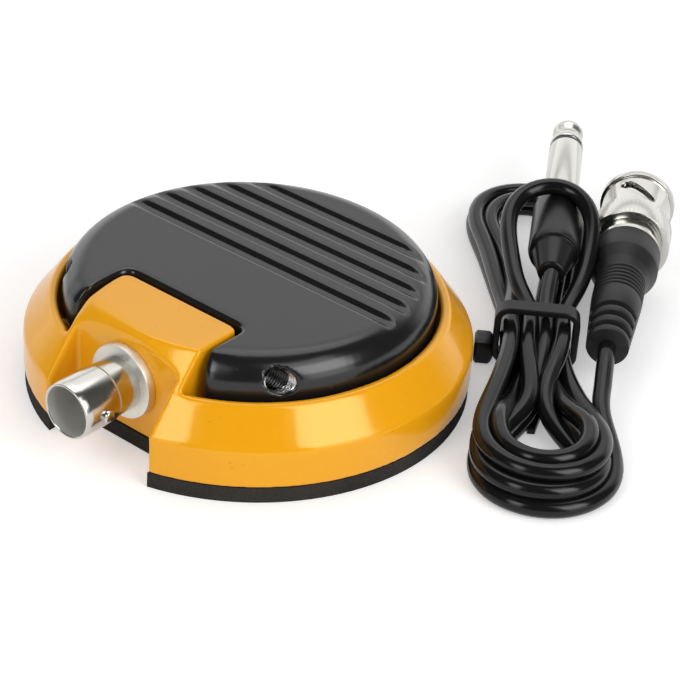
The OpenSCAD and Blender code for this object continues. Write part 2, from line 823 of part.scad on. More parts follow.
// the loose loop that rises from the tie and lies over the phone plug
module top_loop() {
    translate([loop_x, loop_y, loop_z]) rotate([0, -loop_rise, 0]) translate([0, 0, -cord_r])
        linear_extrude(height = 2 * cord_r) difference() {
            loop_plan(cord_r);
            translate([-cut, 0]) loop_plan(-cord_r);
        }
}

module tie_ring(spare) {
    difference() {
        translate([-tie_w / 2, -waist_w / 2 - spare, -spare])
            cube([tie_w, waist_w + 2 * spare, hank_h + 2 * spare]);
        translate([-tie_w / 2 - cut, -tie_in_w / 2, tie_t])
            cube([tie_w + 2 * cut, tie_in_w, tie_in_h]);
    }
}

module lead_hank() {
    color("black") lead_frame() difference() {
        union() {
            hank_stretch(near_x - 2 * near_r, waist_x0, near_h);
            hank_stretch(waist_x0, waist_x1, hank_h);
            hank_stretch(waist_x1, far_x + 2 * far_r, far_h);
            top_loop();
        }
        tie_ring(cut);
        translate([-tie_tail - tail_gap_w, -tie_w / 2 - tail_gap_w, -cut])
            cube([tie_tail + tail_gap_w, tie_w + 2 * tail_gap_w, tie_t + tail_gap_w + cut]);
        translate([phone_x, phone_y, phone_z]) rotate([0, 0, phone_turn]) rotate([0, 90, 0])
            cylinder(r = handle_r + lie_gap, h = shaft_z + phone_gap);
    }
}

module lead_tail_plug() {
    color("black") lead_frame() tube(plug_route, cord_r);
}

module lead_tail_phone() {
    color("black") lead_frame() tube(phone_route, cord_r);
}

module cable_tie() {
    color("black") lead_frame() {
        tie_ring(0);
        translate([-tie_head / 2, waist_w / 2, 0]) cube([tie_head, tie_head_d, tie_head]);
        linear_extrude(height = tie_t)
            polygon([[0, -tie_w / 2], [0, tie_w / 2], [tail_point_l - tie_tail, tie_w / 2],
                [-tie_tail, tail_point_w / 2], [-tie_tail, -tail_point_w / 2],
                [tail_point_l - tie_tail, -tie_w / 2]]);
    }
}

module phone_handle() {
    color("black") phone_frame() rotate_extrude()
        polygon([[0, 0], [relief_r, 0], [relief_end_r, handle_z], [handle_r - handle_edge, handle_z],
            [handle_r, handle_z + handle_edge], [handle_r, shaft_z - handle_edge],
            [handle_r - handle_edge, shaft_z], [0, shaft_z]]);
}

module phone_sleeve() {
    color("silver") phone_frame() translate([0, 0, shaft_z]) cylinder(r = phone_r, h = sleeve_l);
}

module phone_ring() {
    color("black") phone_frame() translate([0, 0, shaft_z + sleeve_l]) cylinder(r = ring_r, h = ring_l);
}

module phone_tip() {
    color("silver") phone_frame() translate([0, 0, shaft_z + sleeve_l + ring_l]) rotate_extrude()
        polygon([[0, 0], [phone_r, 0], [phone_r, tip_shoulder], [tip_neck_r, tip_neck],
            [tip_ball_r, tip_ball], [tip_end_r, tip_l], [0, tip_l]]);
}

// a groove cut round the boot at one station
module boot_groove(z, w, d) {
    skin_r = boot_tail_r + (boot_mid_r - boot_tail_r) * min(z / boot_ring_z, 1);
    translate([0, 0, z]) difference() {
        cylinder(r = boot_r + cut, h = w);
        translate([0, 0, -cut]) cylinder(r = skin_r - d, h = w + 2 * cut);
    }
}

module plug_boot() {
    head_z = boot_l - boot_head_l;
    color("black") plug_frame() difference() {
        rotate_extrude()
            polygon([[0, 0], [boot_tail_r, 0], [boot_mid_r, boot_ring_z], [boot_mid_r, head_z - boot_neck_l],
                [boot_r, head_z], [boot_r, boot_l], [0, boot_l]]);
        for (i = [0:boot_slots - 1])
            boot_groove(boot_slot_w + i * boot_slot_step, boot_slot_w, boot_slot_d);
        for (i = [0:boot_rings - 1])
            boot_groove(boot_ring_z + i * boot_ring_step, boot_ring_w, boot_ring_d);
    }
}

module plug_body() {
    color("silver") plug_frame() difference() {
        union() {
            translate([0, 0, body_z]) cylinder(r = body_r, h = body_l - turn_gap);
            translate([0, 0, body_z]) cylinder(r = neck_r, h = body_l + wall_l);
            translate([0, 0, body_z]) cylinder(r = inner_shell_r, h = shell_z - body_z);
        }
        translate([0, 0, coupling_z]) cylinder(r = shell_bore_r + fit_gap, h = coupling_l);
    }
}

module plug_insulator() {
    color("white") plug_frame() difference() {
        translate([0, 0, coupling_z]) cylinder(r = shell_bore_r, h = shell_z - core_face - coupling_z);
        translate([0, 0, coupling_z + pin_in]) cylinder(r = pin_r + fit_gap, h = coupling_l);
    }
}

module plug_pin() {
    color("gold") plug_frame() translate([0, 0, coupling_z + pin_in])
        cylinder(r = pin_r, h = shell_z - shell_in - coupling_z - pin_in);
}

// a slot with round ends, centred
module slot_plan(w, l) {
    square([l - w, w], center = true);
    for (side = [-1, 1])
        translate([side * (l - w) / 2, 0]) circle(r = w / 2);
}

module plug_coupling() {
    color("silver") plug_frame() difference() {
        union() {
            translate([0, 0, coupling_z]) cylinder(r = coupling_r, h = knurl_l);
            translate([0, 0, coupling_z]) cylinder(r = coupling_front_r, h = coupling_l);
            translate([0, 0, nose_z - coupling_rim_l]) cylinder(r = coupling_rim_r, h = coupling_rim_l);
        }
        translate([0, 0, coupling_z - cut]) cylinder(r = neck_r + turn_gap, h = wall_l + 2 * cut);
        translate([0, 0, coupling_z + wall_l]) cylinder(r = coupling_bore_r, h = coupling_l);
        for (turn = [0, 180])
            rotate([0, 0, turn]) translate([0, 0, bayonet_z]) rotate([0, 90, 0]) rotate([0, 0, bayonet_slant])
                linear_extrude(height = coupling_r + cut) slot_plan(bayonet_w, bayonet_l);
    }
}

base_casting();
floor_pad();
jack_shell();
jack_insulator();
jack_contact();
jack_washer();
ground_tag();
jack_nut();
contact_board();
fixed_contact();
board_screws();
spring_seat();
return_spring();
signal_wire();
ground_wire();
treadle();
pivot_screw_left();
pivot_screw_right();
contact_screw();
contact_lock_nut();
lead_hank();
lead_tail_plug();
lead_tail_phone();
cable_tie();
phone_handle();
phone_sleeve();
phone_ring();
phone_tip();
plug_boot();
plug_body();
plug_insulator();
plug_pin();
plug_coupling();
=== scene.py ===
import json
import math

import bmesh
import bpy
import numpy as np
from mathutils import Matrix, Vector


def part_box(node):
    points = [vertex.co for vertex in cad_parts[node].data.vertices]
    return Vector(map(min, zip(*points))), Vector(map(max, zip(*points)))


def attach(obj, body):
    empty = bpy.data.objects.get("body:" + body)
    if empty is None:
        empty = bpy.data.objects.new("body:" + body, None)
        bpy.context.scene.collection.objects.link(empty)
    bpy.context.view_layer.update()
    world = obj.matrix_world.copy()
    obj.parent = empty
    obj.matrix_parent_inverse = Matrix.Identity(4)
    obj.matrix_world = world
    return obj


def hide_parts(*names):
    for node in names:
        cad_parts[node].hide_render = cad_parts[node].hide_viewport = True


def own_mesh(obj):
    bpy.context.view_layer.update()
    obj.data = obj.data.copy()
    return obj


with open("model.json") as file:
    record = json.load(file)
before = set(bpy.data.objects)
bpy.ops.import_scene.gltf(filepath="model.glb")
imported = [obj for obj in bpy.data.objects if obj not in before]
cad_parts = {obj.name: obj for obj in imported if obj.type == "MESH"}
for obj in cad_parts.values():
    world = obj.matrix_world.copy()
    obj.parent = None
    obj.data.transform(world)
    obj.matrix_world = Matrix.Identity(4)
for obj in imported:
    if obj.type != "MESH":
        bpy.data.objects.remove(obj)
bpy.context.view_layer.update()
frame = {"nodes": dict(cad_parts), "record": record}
nodes = frame["nodes"]
scene = bpy.context.scene
mm = 0.001
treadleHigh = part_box("treadle")[1]
treadleReach, treadleTop = treadleHigh[0] / mm, treadleHigh[2] / mm
print("stage: frame loaded")


def direction(az, el):
    # from the pedal towards a viewer or a light, in degrees
    a, e = math.radians(az), math.radians(el)
    return Vector((math.sin(a) * math.cos(e), -math.cos(a) * math.cos(e), math.sin(e)))


# camera, fitted to the photo (millimetres and degrees)
cameraSet = {"azimuth": 40.49, "elevation": 31.65, "roll": 2.46, "distance": 381.44, "target": (0, 0, 12),
             "lens": 121.81, "sensor": 36, "shiftX": 0.1331, "shiftY": -0.0435, "clip": (0.01, 20)}


def makeCamera(s):
    a, r = math.radians(s["azimuth"]), math.radians(s["roll"])
    back = direction(s["azimuth"], s["elevation"])
    right = Vector((math.cos(a), math.sin(a), 0))
    up = back.cross(right)
    camX = right * math.cos(r) + up * math.sin(r)
    camY = up * math.cos(r) - right * math.sin(r)
    data = bpy.data.cameras.new("photoCamera")
    data.lens = s["lens"]
    data.sensor_width = s["sensor"]
    data.shift_x = s["shiftX"]
    data.shift_y = s["shiftY"]
    data.clip_start, data.clip_end = s["clip"]
    cam = bpy.data.objects.new("photoCamera", data)
    m = Matrix((camX, camY, back)).transposed().to_4x4()
    m.translation = (Vector(s["target"]) + back * s["distance"]) * mm
    cam.matrix_world = m
    scene.collection.objects.link(cam)
    scene.camera = cam


makeCamera(cameraSet)
print("stage: camera")


# lead layout: t runs along the hank away from the viewer, left is to its left
leadSet = {"x": 32.8, "y": 36.6, "turn": 125}
plugSet = {"t": -4.5, "left": -11.8, "turn": -7, "z": 7.2}
phoneSet = {"t": 12, "left": -2, "turn": -3, "z": 10.7}


def leadPoint(t, left, z):
    a = math.radians(leadSet["turn"])
    return Vector((leadSet["x"] + t * math.cos(a) - left * math.sin(a),
                   leadSet["y"] + t * math.sin(a) + left * math.cos(a), z)) * mm


def leadMatrix(s):
    a = math.radians(leadSet["turn"] + s["turn"])
    axis = Vector((math.cos(a), math.sin(a), 0))
    side = Vector((0, 0, 1)).cross(axis)
    m = Matrix((side, axis.cross(side), axis)).transposed().to_4x4()
    m.translation = leadPoint(s["t"], s["left"], s["z"])
    return m


# cord: every strand has a place in the bundle; a short relaxing settles the strands beside each other
cordSet = {"radius": 1.5, "step": 2.4, "finer": 3, "bevel": 5, "turns": 5,
           "nearT": -33.2, "nearLeft": -1.8, "farT": 45.4, "farLeft": 2.0,
           "nearMid": -19, "tieIn": -6, "tieOut": 5, "farMid": 18, "farEnd": 32,
           "seed": 11, "drift": 0.3, "driftZ": 0.3, "driftRounds": 150,
           "rounds": 140, "weight": 0.03, "overlap": 0.05, "push": 0.22, "gain": 1.8, "smooth": 5,
           "skip": 5, "routeStep": 0.5, "freeT": 3, "freeZ": 8.2, "bootRun": 7,
           "barGap": 0.05, "barEnd": 0.02, "barPush": 0.6}
plugRoute = [(-4.5, -11.8, 7.2), (-7, -11.6, 7), (-10, -11.4, 6.4), (-13, -11.2, 5.6), (-16, -11, 4.9),
             (-19, -10.7, 4.3)]
phoneRoute = [(7, -1.4, 9.4), (9, -1.7, 10.1), (10.5, -1.9, 10.5), (12, -2, 10.7)]
# near and far folds: radius, height and shift along the hank
nearFold = [(10.7, 1.5, -1.2), (10.6, 4.5, 0.2), (10.6, 7.5, 1.4), (8.3, 9, 2), (8.3, 6, 1.8), (8.3, 3, 0.6)]
farFold = [(10.4, 1.5, 0.4), (10.3, 4.5, -1.2), (8, 6, -1.6), (8, 3, -1.2)]
# places of the strands in the tie and between the tie and the folds
leftWaist = [(4.5, 2.6), (4.5, 5.6), (4.5, 8.6), (1.5, 5.6), (1.5, 8.6), (-1.5, 8.6)]
rightWaist = [(-4.5, 2.6), (-4.5, 5.6), (-1.5, 5.6), (-1.5, 2.6), (-4.5, 8.6)]
leftNear = [(6.9, 2.0), (6.8, 5.0), (6.7, 8.0), (4.0, 6.3), (1.4, 7.5), (1.0, 4.4)]
rightNear = [(-8.2, 2.2), (-8.4, 6.5), (-5.5, 6.9), (-5.6, 3.9), (-2.7, 6.2)]
leftFar = [(7.2, 2.2), (7.1, 5.2), (4.6, 7.3), (4.2, 3.9)]
rightFar = [(-5.6, 2.2), (-5.6, 5.2), (-2.6, 5.2), (-2.6, 2.2)]
leftOut = [(10.0, 1.7), (10.0, 4.8), (7.2, 6.0), (7.0, 3.0)]
rightOut = [(-7.0, 1.8), (-7.0, 4.8), (-4.0, 4.8), (-4.0, 1.8)]
# the last turn's far loop lies over the phone plug's handle, nearer to the tie
topLoop = [(10, 4.4, 9.6), (16, 5.4, 11.4), (21.5, 6.3, 13.4), (26, 6.5, 15), (29.8, 5.4, 16.1),
           (32.7, 2.6, 16.8), (33.8, -1.6, 17), (32.7, -5.8, 16.4), (29.8, -8.6, 15.2), (26, -9.7, 13.6),
           (21.5, -9.5, 11.6), (16, -8.4, 9.8), (10, -6.4, 8.6)]
# the plugs as bars that the strands lie against: start, end, and the radius at either end
phoneBars = ((0, 7, 2.3, 3.8), (7, 27, 4.6, 4.6), (27, 58, 3.2, 3.2))
plugBars = ((1, 24, 3.6, 5), (24, 52, 6, 7.2))
# the hank's outline, which widens from the tie to a round lobe at either end
hankSet = {"waistT": 2.4, "waistLeft": 5.5, "waistZ": (2.6, 8.7), "tieWide": 4.7, "tieTop": 9.9,
           "lobes": ({"way": -1, "from": 9, "to": 33.2, "left": -1.8, "wide": 10.8, "top": 9},
                     {"way": 1, "from": 8, "to": 46.5, "left": 2.0, "wide": 10.5, "top": 6})}


def catmull(points, step):
    p = [np.array(q, float) for q in points]
    p = [2 * p[0] - p[1]] + p + [2 * p[-1] - p[-2]]
    out = []
    for i in range(1, len(p) - 2):
        n = max(1, int(np.linalg.norm(p[i + 1] - p[i]) / step))
        for k in range(n):
            u = k / n
            out.append(0.5 * (2 * p[i] + (p[i + 1] - p[i - 1]) * u
                              + (2 * p[i - 1] - 5 * p[i] + 4 * p[i + 1] - p[i + 2]) * u * u
                              + (3 * p[i] - p[i - 1] - 3 * p[i + 1] + p[i + 2]) * u ** 3))
    out.append(p[-2])
    return np.array(out)


def evenly(pts, step):
    d = np.concatenate([[0], np.cumsum(np.linalg.norm(np.diff(pts, axis=0), axis=1))])
    u = np.linspace(0, d[-1], int(d[-1] / step) + 1)
    return np.stack([np.interp(u, d, pts[:, k]) for k in range(3)], axis=1)


def smoothLine(p, rounds):
    for i in range(rounds):
        q = p.copy()
        q[1:-1] += 0.5 * ((p[:-2] + p[2:]) / 2 - p[1:-1])
        p = q
    return p


def foldPoints(t, c, r, z, way, run=4):
    # half a turn about c, with a short straight run at either end
    out = [(t - way * run, c + r, z)]
    for a in range(72, -73, -24):
        out.append((t + way * r * math.cos(math.radians(a)), c + r * math.sin(math.radians(a)), z))
    return out + [(t - way * run, c - r, z)]


def loopPoints(s):
    pts = list(plugRoute)
    for k in range(s["turns"] + 1):
        r, z, dt = nearFold[k]
        if k:
            pts.append((s["nearMid"], *rightNear[k - 1]))
        pts += foldPoints(s["nearT"] + dt, s["nearLeft"], r, z, -1)[::-1]
        pts += [(s["nearMid"], *leftNear[k]), (s["tieIn"], *leftWaist[k]), (0, *leftWaist[k])]
        if k == s["turns"]:
            break
        pts.append((s["tieOut"], *leftWaist[k]))
        if k < len(farFold):
            r, z, dt = farFold[k]
            pts += [(s["farMid"], *leftFar[k]), (s["farEnd"], *leftOut[k])]
            pts += foldPoints(s["farT"] + dt, s["farLeft"], r, z, 1)
            pts += [(s["farEnd"], *rightOut[k]), (s["farMid"], *rightFar[k])]
        else:
            pts += topLoop
        pts += [(s["tieOut"], *rightWaist[k]), (0, *rightWaist[k]), (s["tieIn"], *rightWaist[k])]
    return pts + list(phoneRoute)


def lobeHold(p, s):
    # keeps the strands within the hank's outline
    for e in s["lobes"]:
        t = p[:, 0] * e["way"]
        u = np.clip((t - e["from"]) / (e["to"] - e["from"]), 0, 1)
        c, w = e["left"] * u, s["tieWide"] + (e["wide"] - s["tieWide"]) * u
        out = t > e["from"]
        p[out, 1] = np.clip(p[out, 1], (c - w)[out], (c + w)[out])
        p[out, 2] = np.minimum(p[out, 2], (s["tieTop"] + (e["top"] - s["tieTop"]) * u)[out])
        dt, dl = t - e["to"], p[:, 1] - e["left"]
        n = np.hypot(dt, dl)
        past = (dt > 0) & (n > e["wide"])
        over = 1 - e["wide"] / n
        p[past, 0] -= (e["way"] * dt * over)[past]
        p[past, 1] -= (dl * over)[past]
    return p


def along(plug, q):
    a = math.radians(plug["turn"])
    return np.array([plug["t"] + q * math.cos(a), plug["left"] + q * math.sin(a), plug["z"]])


def axisPush(p, plug, bar, s):
    # pushes points out of a tapered bar on a plug's axis
    a, b = along(plug, bar[0]), along(plug, bar[1])
    r0, r1 = bar[2:]
    ab = b - a
    u = ((p - a) @ ab) / (ab @ ab)
    c = a + np.clip(u, 0, 1)[:, None] * ab
    d = p - c
    n = np.linalg.norm(d, axis=1)
    need = r0 + (r1 - r0) * np.clip(u, 0, 1) + s["radius"] + s["barGap"]
    hit = (u > -s["barEnd"]) & (u < 1 + s["barEnd"]) & (n < need)
    p[hit] += d[hit] * ((need - n) / n)[hit, None] * s["barPush"]
    return p


def relaxCord(s):
    pts = smoothLine(evenly(catmull(loopPoints(s), s["step"] / s["finer"]), s["step"]), 3)
    n = len(pts)
    rng = np.random.RandomState(s["seed"])
    wander = smoothLine(rng.normal(0, 1, (n, 3)), s["driftRounds"])
    rest = pts + wander / wander.std() * s["drift"] * np.array([1, 1, s["driftZ"]])
    pts = rest.copy()
    index = np.arange(n)
    far = np.abs(index[:, None] - index[None, :]) > s["skip"]
    start = evenly(catmull(plugRoute, s["routeStep"]), s["step"])
    end = evenly(catmull(phoneRoute, s["routeStep"]), s["step"])
    lo, hi = len(start), len(end)
    inHank = (rest[:, 0] < s["freeT"]) | (rest[:, 2] < s["freeZ"])
    held = inHank & (index > lo + s["bootRun"]) & (index < n - hi)
    pair = 2 * s["radius"] - s["overlap"]
    h = hankSet
    for i in range(s["rounds"]):
        diff = pts[:, None, :] - pts[None, :, :]
        dist = np.sqrt((diff ** 2).sum(2)) + 1e-6
        push = np.where(far & (dist < pair), (pair - dist) / dist * s["push"], 0)
        move = smoothLine((diff * push[:, :, None]).sum(1), s["smooth"])
        pts += move * s["gain"]
        body = pts[lo:n - hi]
        for plug, bars in ((phoneSet, phoneBars), (plugSet, plugBars)):
            for bar in bars:
                body = axisPush(body, plug, bar, s)
        waist = np.abs(body[:, 0]) < h["waistT"]
        body[waist, 1] = np.clip(body[waist, 1], -h["waistLeft"], h["waistLeft"])
        body[waist, 2] = np.clip(body[waist, 2], *h["waistZ"])
        body[~waist, 2] -= s["weight"]
        pts[lo:n - hi] = body
        pts[held] = lobeHold(pts[held], h)
        pts[:, 2] = np.maximum(pts[:, 2], s["radius"])
        pts[:lo] = start
        pts[n - hi:] = end
        pts = rest + smoothLine(pts - rest, 3)
    pts[:, 2] = np.maximum(pts[:, 2], s["radius"])
    pts[:lo - 2] = start[:-2]
    pts[n - hi + 2:] = end[2:]
    return pts


def makeCord(s):
    fine = catmull(relaxCord(s), s["step"] / s["finer"])
    length = float(np.linalg.norm(np.diff(fine, axis=0), axis=1).sum()) * mm
    data = bpy.data.curves.new("leadCord", "CURVE")
    data.dimensions = "3D"
    data.bevel_depth = 1
    data.bevel_resolution = s["bevel"]
    data.use_fill_caps = True
    spline = data.splines.new("POLY")
    spline.points.add(len(fine) - 1)
    for p, q in zip(spline.points, fine):
        p.co = (*leadPoint(*q), 1)
        p.radius = s["radius"] * mm
    spline.use_smooth = True
    obj = bpy.data.objects.new("leadCord", data)
    scene.collection.objects.link(obj)
    print("cord length m", round(length, 4), "points", len(fine))
    return obj, length


leadCord, cordLength = makeCord(cordSet)
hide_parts("lead_hank", "lead_tail_plug", "lead_tail_phone")
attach(leadCord, "base")
print("stage: cord")


def mathNode(tree, op, *values):
    node = tree.nodes.new("ShaderNodeMath")
    node.operation = op
    for socket, v in zip(node.inputs, values):
        if isinstance(v, (int, float)):
            socket.default_value = v
        else:
            tree.links.new(v, socket)
    return node.outputs[0]


# shared grain: colour drift, roughness drift and a bump height, in millimetres of object space
grainSet = {"broad": 0.09, "broadDetail": 3, "broadGain": 1.4, "fineDetail": 4, "spots": 1.3,
            "spotDetail": 1, "speckFrom": 0.74, "speckTo": 0.80, "pit": -0.6}
grainInputs = (("Color", "NodeSocketColor", (0.5, 0.5, 0.5, 1)), ("Vary", "NodeSocketFloat", 0.1),
               ("Rough", "NodeSocketFloat", 0.4), ("RoughVary", "NodeSocketFloat", 0.1),
               ("Scale", "NodeSocketFloat", 1.0), ("Speck", "NodeSocketFloat", 0.0),
               ("SpeckColor", "NodeSocketColor", (0.02, 0.02, 0.02, 1)))
grainOutputs = (("Color", "NodeSocketColor"), ("Roughness", "NodeSocketFloat"),
                ("Height", "NodeSocketFloat"))


def grainGroup(s):
    g = bpy.data.node_groups.new("grain", "ShaderNodeTree")
    for name, kind, value in grainInputs:
        g.interface.new_socket(name, in_out="INPUT", socket_type=kind).default_value = value
    for name, kind in grainOutputs:
        g.interface.new_socket(name, in_out="OUTPUT", socket_type=kind)
    new, link = g.nodes.new, g.links.new
    gin, gout = new("NodeGroupInput"), new("NodeGroupOutput")
    coord, toMm = new("ShaderNodeTexCoord"), new("ShaderNodeVectorMath")
    toMm.operation = "SCALE"
    toMm.inputs["Scale"].default_value = 1 / mm
    link(coord.outputs["Object"], toMm.inputs[0])

    def noise(detail):
        node = new("ShaderNodeTexNoise")
        node.inputs["Detail"].default_value = detail
        link(toMm.outputs[0], node.inputs["Vector"])
        return node

    broad, fine, spots = (noise(s[k]) for k in ("broadDetail", "fineDetail", "spotDetail"))
    broad.inputs["Scale"].default_value = s["broad"]
    spots.inputs["Scale"].default_value = s["spots"]
    link(gin.outputs["Scale"], fine.inputs["Scale"])
    wide = mathNode(g, "MULTIPLY", mathNode(g, "SUBTRACT", broad.outputs["Fac"], 0.5), s["broadGain"])
    drift = mathNode(g, "ADD", wide, mathNode(g, "SUBTRACT", fine.outputs["Fac"], 0.5))
    gain = mathNode(g, "ADD", mathNode(g, "MULTIPLY", drift, gin.outputs["Vary"]), 1.0)
    shade = new("ShaderNodeVectorMath")
    shade.operation = "SCALE"
    link(gin.outputs["Color"], shade.inputs[0])
    link(gain, shade.inputs["Scale"])
    speck = new("ShaderNodeMapRange")
    speck.inputs["From Min"].default_value = s["speckFrom"]
    speck.inputs["From Max"].default_value = s["speckTo"]
    link(spots.outputs["Fac"], speck.inputs["Value"])
    mix = new("ShaderNodeMix")  # inputs 6 and 7 and output 2 are its colours
    mix.data_type = "RGBA"
    link(mathNode(g, "MULTIPLY", speck.outputs[0], gin.outputs["Speck"]), mix.inputs["Factor"])
    link(shade.outputs[0], mix.inputs[6])
    link(gin.outputs["SpeckColor"], mix.inputs[7])
    link(mix.outputs[2], gout.inputs["Color"])
    polish = mathNode(g, "MULTIPLY", drift, gin.outputs["RoughVary"])
    link(mathNode(g, "ADD", polish, gin.outputs["Rough"]), gout.inputs["Roughness"])
    pits = mathNode(g, "MULTIPLY", speck.outputs[0], s["pit"])
    link(mathNode(g, "ADD", fine.outputs["Fac"], pits), gout.inputs["Height"])
    return g


grain = grainGroup(grainSet)


def makeMaterial(name, s):
    mat = bpy.data.materials.new(name)
    mat.use_nodes = True
    tree = mat.node_tree
    bsdf = tree.nodes["Principled BSDF"]
    g = tree.nodes.new("ShaderNodeGroup")
    g.node_tree = grain
    g.inputs["Color"].default_value = (*s["color"], 1)
    for key, socket in (("vary", "Vary"), ("rough", "Rough"), ("roughVary", "RoughVary"), ("scale", "Scale"),
                        ("speck", "Speck")):
        if key in s:
            g.inputs[socket].default_value = s[key]
    if "speckColor" in s:
        g.inputs["SpeckColor"].default_value = (*s["speckColor"], 1)
    tree.links.new(g.outputs["Color"], bsdf.inputs["Base Color"])
    tree.links.new(g.outputs["Roughness"], bsdf.inputs["Roughness"])
    bump = tree.nodes.new("ShaderNodeBump")
    bump.inputs["Strength"].default_value = s.get("bump", 0.1)
    bump.inputs["Distance"].default_value = s.get("bumpMm", 0.1) * mm
    tree.links.new(g.outputs["Height"], bump.inputs["Height"])
    tree.links.new(bump.outputs["Normal"], bsdf.inputs["Normal"])
    bsdf.inputs["Metallic"].default_value = s.get("metal", 0)
    bsdf.inputs["Specular IOR Level"].default_value = s.get("spec", 0.5)
    bsdf.inputs["Specular Tint"].default_value = (*s.get("specTint", (1, 1, 1)), 1)
    return mat


materialSet = {
    "yellow_paint": {"color": (0.93, 0.4, 0.006), "vary": 0.06, "rough": 0.13, "roughVary": 0.06,
                     "scale": 1.6, "speck": 0.35, "speckColor": (0.5, 0.2, 0.01), "bump": 0.1,
                     "bumpMm": 0.1, "spec": 0.62, "specTint": (1, 1, 0.55)},
    "foam": {"color": (0.034, 0.031, 0.028), "vary": 0.9, "rough": 0.95, "scale": 2.6, "speck": 0.6,
             "speckColor": (0.09, 0.09, 0.09), "bump": 0.9, "bumpMm": 0.4, "spec": 0.2},
    "black_metal": {"color": (0.009, 0.009, 0.0095), "vary": 0.2, "rough": 0.2, "roughVary": 0.05,
                    "scale": 2.2, "speck": 0.3, "speckColor": (0.08, 0.08, 0.08), "bump": 0.04,
                    "bumpMm": 0.06},
    "nickel": {"color": (0.57, 0.56, 0.52), "vary": 0.08, "rough": 0.16, "roughVary": 0.12, "scale": 1.2,
               "metal": 1, "bump": 0.04, "bumpMm": 0.05},
    "steel": {"color": (0.55, 0.55, 0.55), "vary": 0.12, "rough": 0.32, "roughVary": 0.12, "scale": 2,
              "metal": 1, "bump": 0.05, "bumpMm": 0.05},
    "satin": {"color": (0.76, 0.75, 0.7), "vary": 0.1, "rough": 0.5, "roughVary": 0.1, "scale": 1.5,
              "metal": 1},
    "bore": {"color": (0.5, 0.5, 0.46), "vary": 0.15, "rough": 0.5, "roughVary": 0.1, "scale": 1.5,
             "metal": 0.35},
    # the thread's dark colour is painted shade for the depth of the pivot holes
    "thread": {"color": (0.06, 0.06, 0.062), "vary": 0.2, "rough": 0.3, "roughVary": 0.1, "scale": 3,
               "metal": 1},
    "tarnish": {"color": (0.24, 0.22, 0.18), "vary": 0.2, "rough": 0.4, "roughVary": 0.1, "scale": 2,
                "metal": 0.8},
    "gold_brass": {"color": (0.78, 0.56, 0.22), "vary": 0.1, "rough": 0.26, "roughVary": 0.1, "scale": 1.5,
                   "metal": 1, "bump": 0.04, "bumpMm": 0.05},
    "white_plastic": {"color": (0.78, 0.76, 0.72), "vary": 0.06, "rough": 0.45, "roughVary": 0.08,
                      "scale": 2},
    "board": {"color": (0.22, 0.10, 0.04), "vary": 0.25, "rough": 0.55, "roughVary": 0.1, "scale": 1.6},
    "wire_red": {"color": (0.45, 0.02, 0.015), "vary": 0.1, "rough": 0.35, "roughVary": 0.05, "scale": 2},
    "cord_black": {"color": (0.007, 0.007, 0.0075), "vary": 0.2, "rough": 0.17, "roughVary": 0.05,
                   "scale": 0.8, "bump": 0.05, "bumpMm": 0.08, "spec": 0.28},
    "tie_black": {"color": (0.007, 0.007, 0.0075), "vary": 0.2, "rough": 0.36, "roughVary": 0.08,
                  "scale": 2, "spec": 0.25},
    "handle_black": {"color": (0.007, 0.007, 0.0075), "vary": 0.2, "rough": 0.3, "roughVary": 0.08,
                     "scale": 1.5, "spec": 0.28},
    "boot_rubber": {"color": (0.012, 0.012, 0.0125), "vary": 0.25, "rough": 0.45, "roughVary": 0.1,
                    "scale": 2, "bump": 0.1, "bumpMm": 0.06, "spec": 0.3},
}
materials = {k: makeMaterial(k, v) for k, v in materialSet.items()}
slotOf = {p["node"]: p["material_slot"] for p in frame["record"]["subparts"]}


def dress(obj, slot, look=None):
    obj.data.materials.clear()
    obj.data.materials.append(materials[look or slot])
    return obj


for name, obj in nodes.items():
    dress(obj, slotOf[name])
dress(nodes["jack_contact"], slotOf["jack_contact"], "tarnish")
dress(leadCord, "cord_black")
print("stage: materials")


# helpers for copied, turned and moulded pieces
def nodeCopy(node, name, weld):
    obj = bpy.data.objects.new(name, nodes[node].data.copy())
    scene.collection.objects.link(obj)
    obj.modifiers.new("weld", "WELD").merge_threshold = weld
    return obj


def appliedMesh(obj):
    bpy.context.view_layer.update()
    return bpy.data.meshes.new_from_object(obj.evaluated_get(bpy.context.evaluated_depsgraph_get()))


def shadeSmooth(mesh, sharp=None):
    mesh.polygons.foreach_set("use_smooth", [True] * len(mesh.polygons))
    if sharp:
        mesh.set_sharp_from_angle(angle=math.radians(sharp))


def finishMesh(mesh, sharp=40):
    b = bmesh.new()
    b.from_mesh(mesh)
    bmesh.ops.remove_doubles(b, verts=b.verts, dist=1e-7)
    bmesh.ops.dissolve_degenerate(b, edges=b.edges, dist=1e-8)
    bmesh.ops.recalc_face_normals(b, faces=b.faces)
    b.to_mesh(mesh)
    b.free()
    shadeSmooth(mesh, sharp)


def addPiece(name, mesh, slot, body, *replaced, look=None):
    obj = bpy.data.objects.new(name, mesh)
    scene.collection.objects.link(obj)
    if replaced:
        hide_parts(*replaced)
    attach(obj, body)
    return dress(obj, slot, look)


def gridMesh(name, rows, closed=True):
    # rows of equal length become a skin; a closed row joins its last point to its first
    n = len(rows[0])
    verts = [p for row in rows for p in row]
    faces = []
    for i in range(len(rows) - 1):
        for k in range(n if closed else n - 1):
            j = (k + 1) % n
            faces.append((i * n + k, i * n + j, (i + 1) * n + j, (i + 1) * n + k))
    mesh = bpy.data.meshes.new(name)
    mesh.from_pydata(verts, [], faces)
    finishMesh(mesh)
    return mesh


def axisMatrix(origin, axis):
    m = Vector(axis).to_track_quat("Z", "Y").to_matrix().to_4x4()
    m.translation = origin
    return m


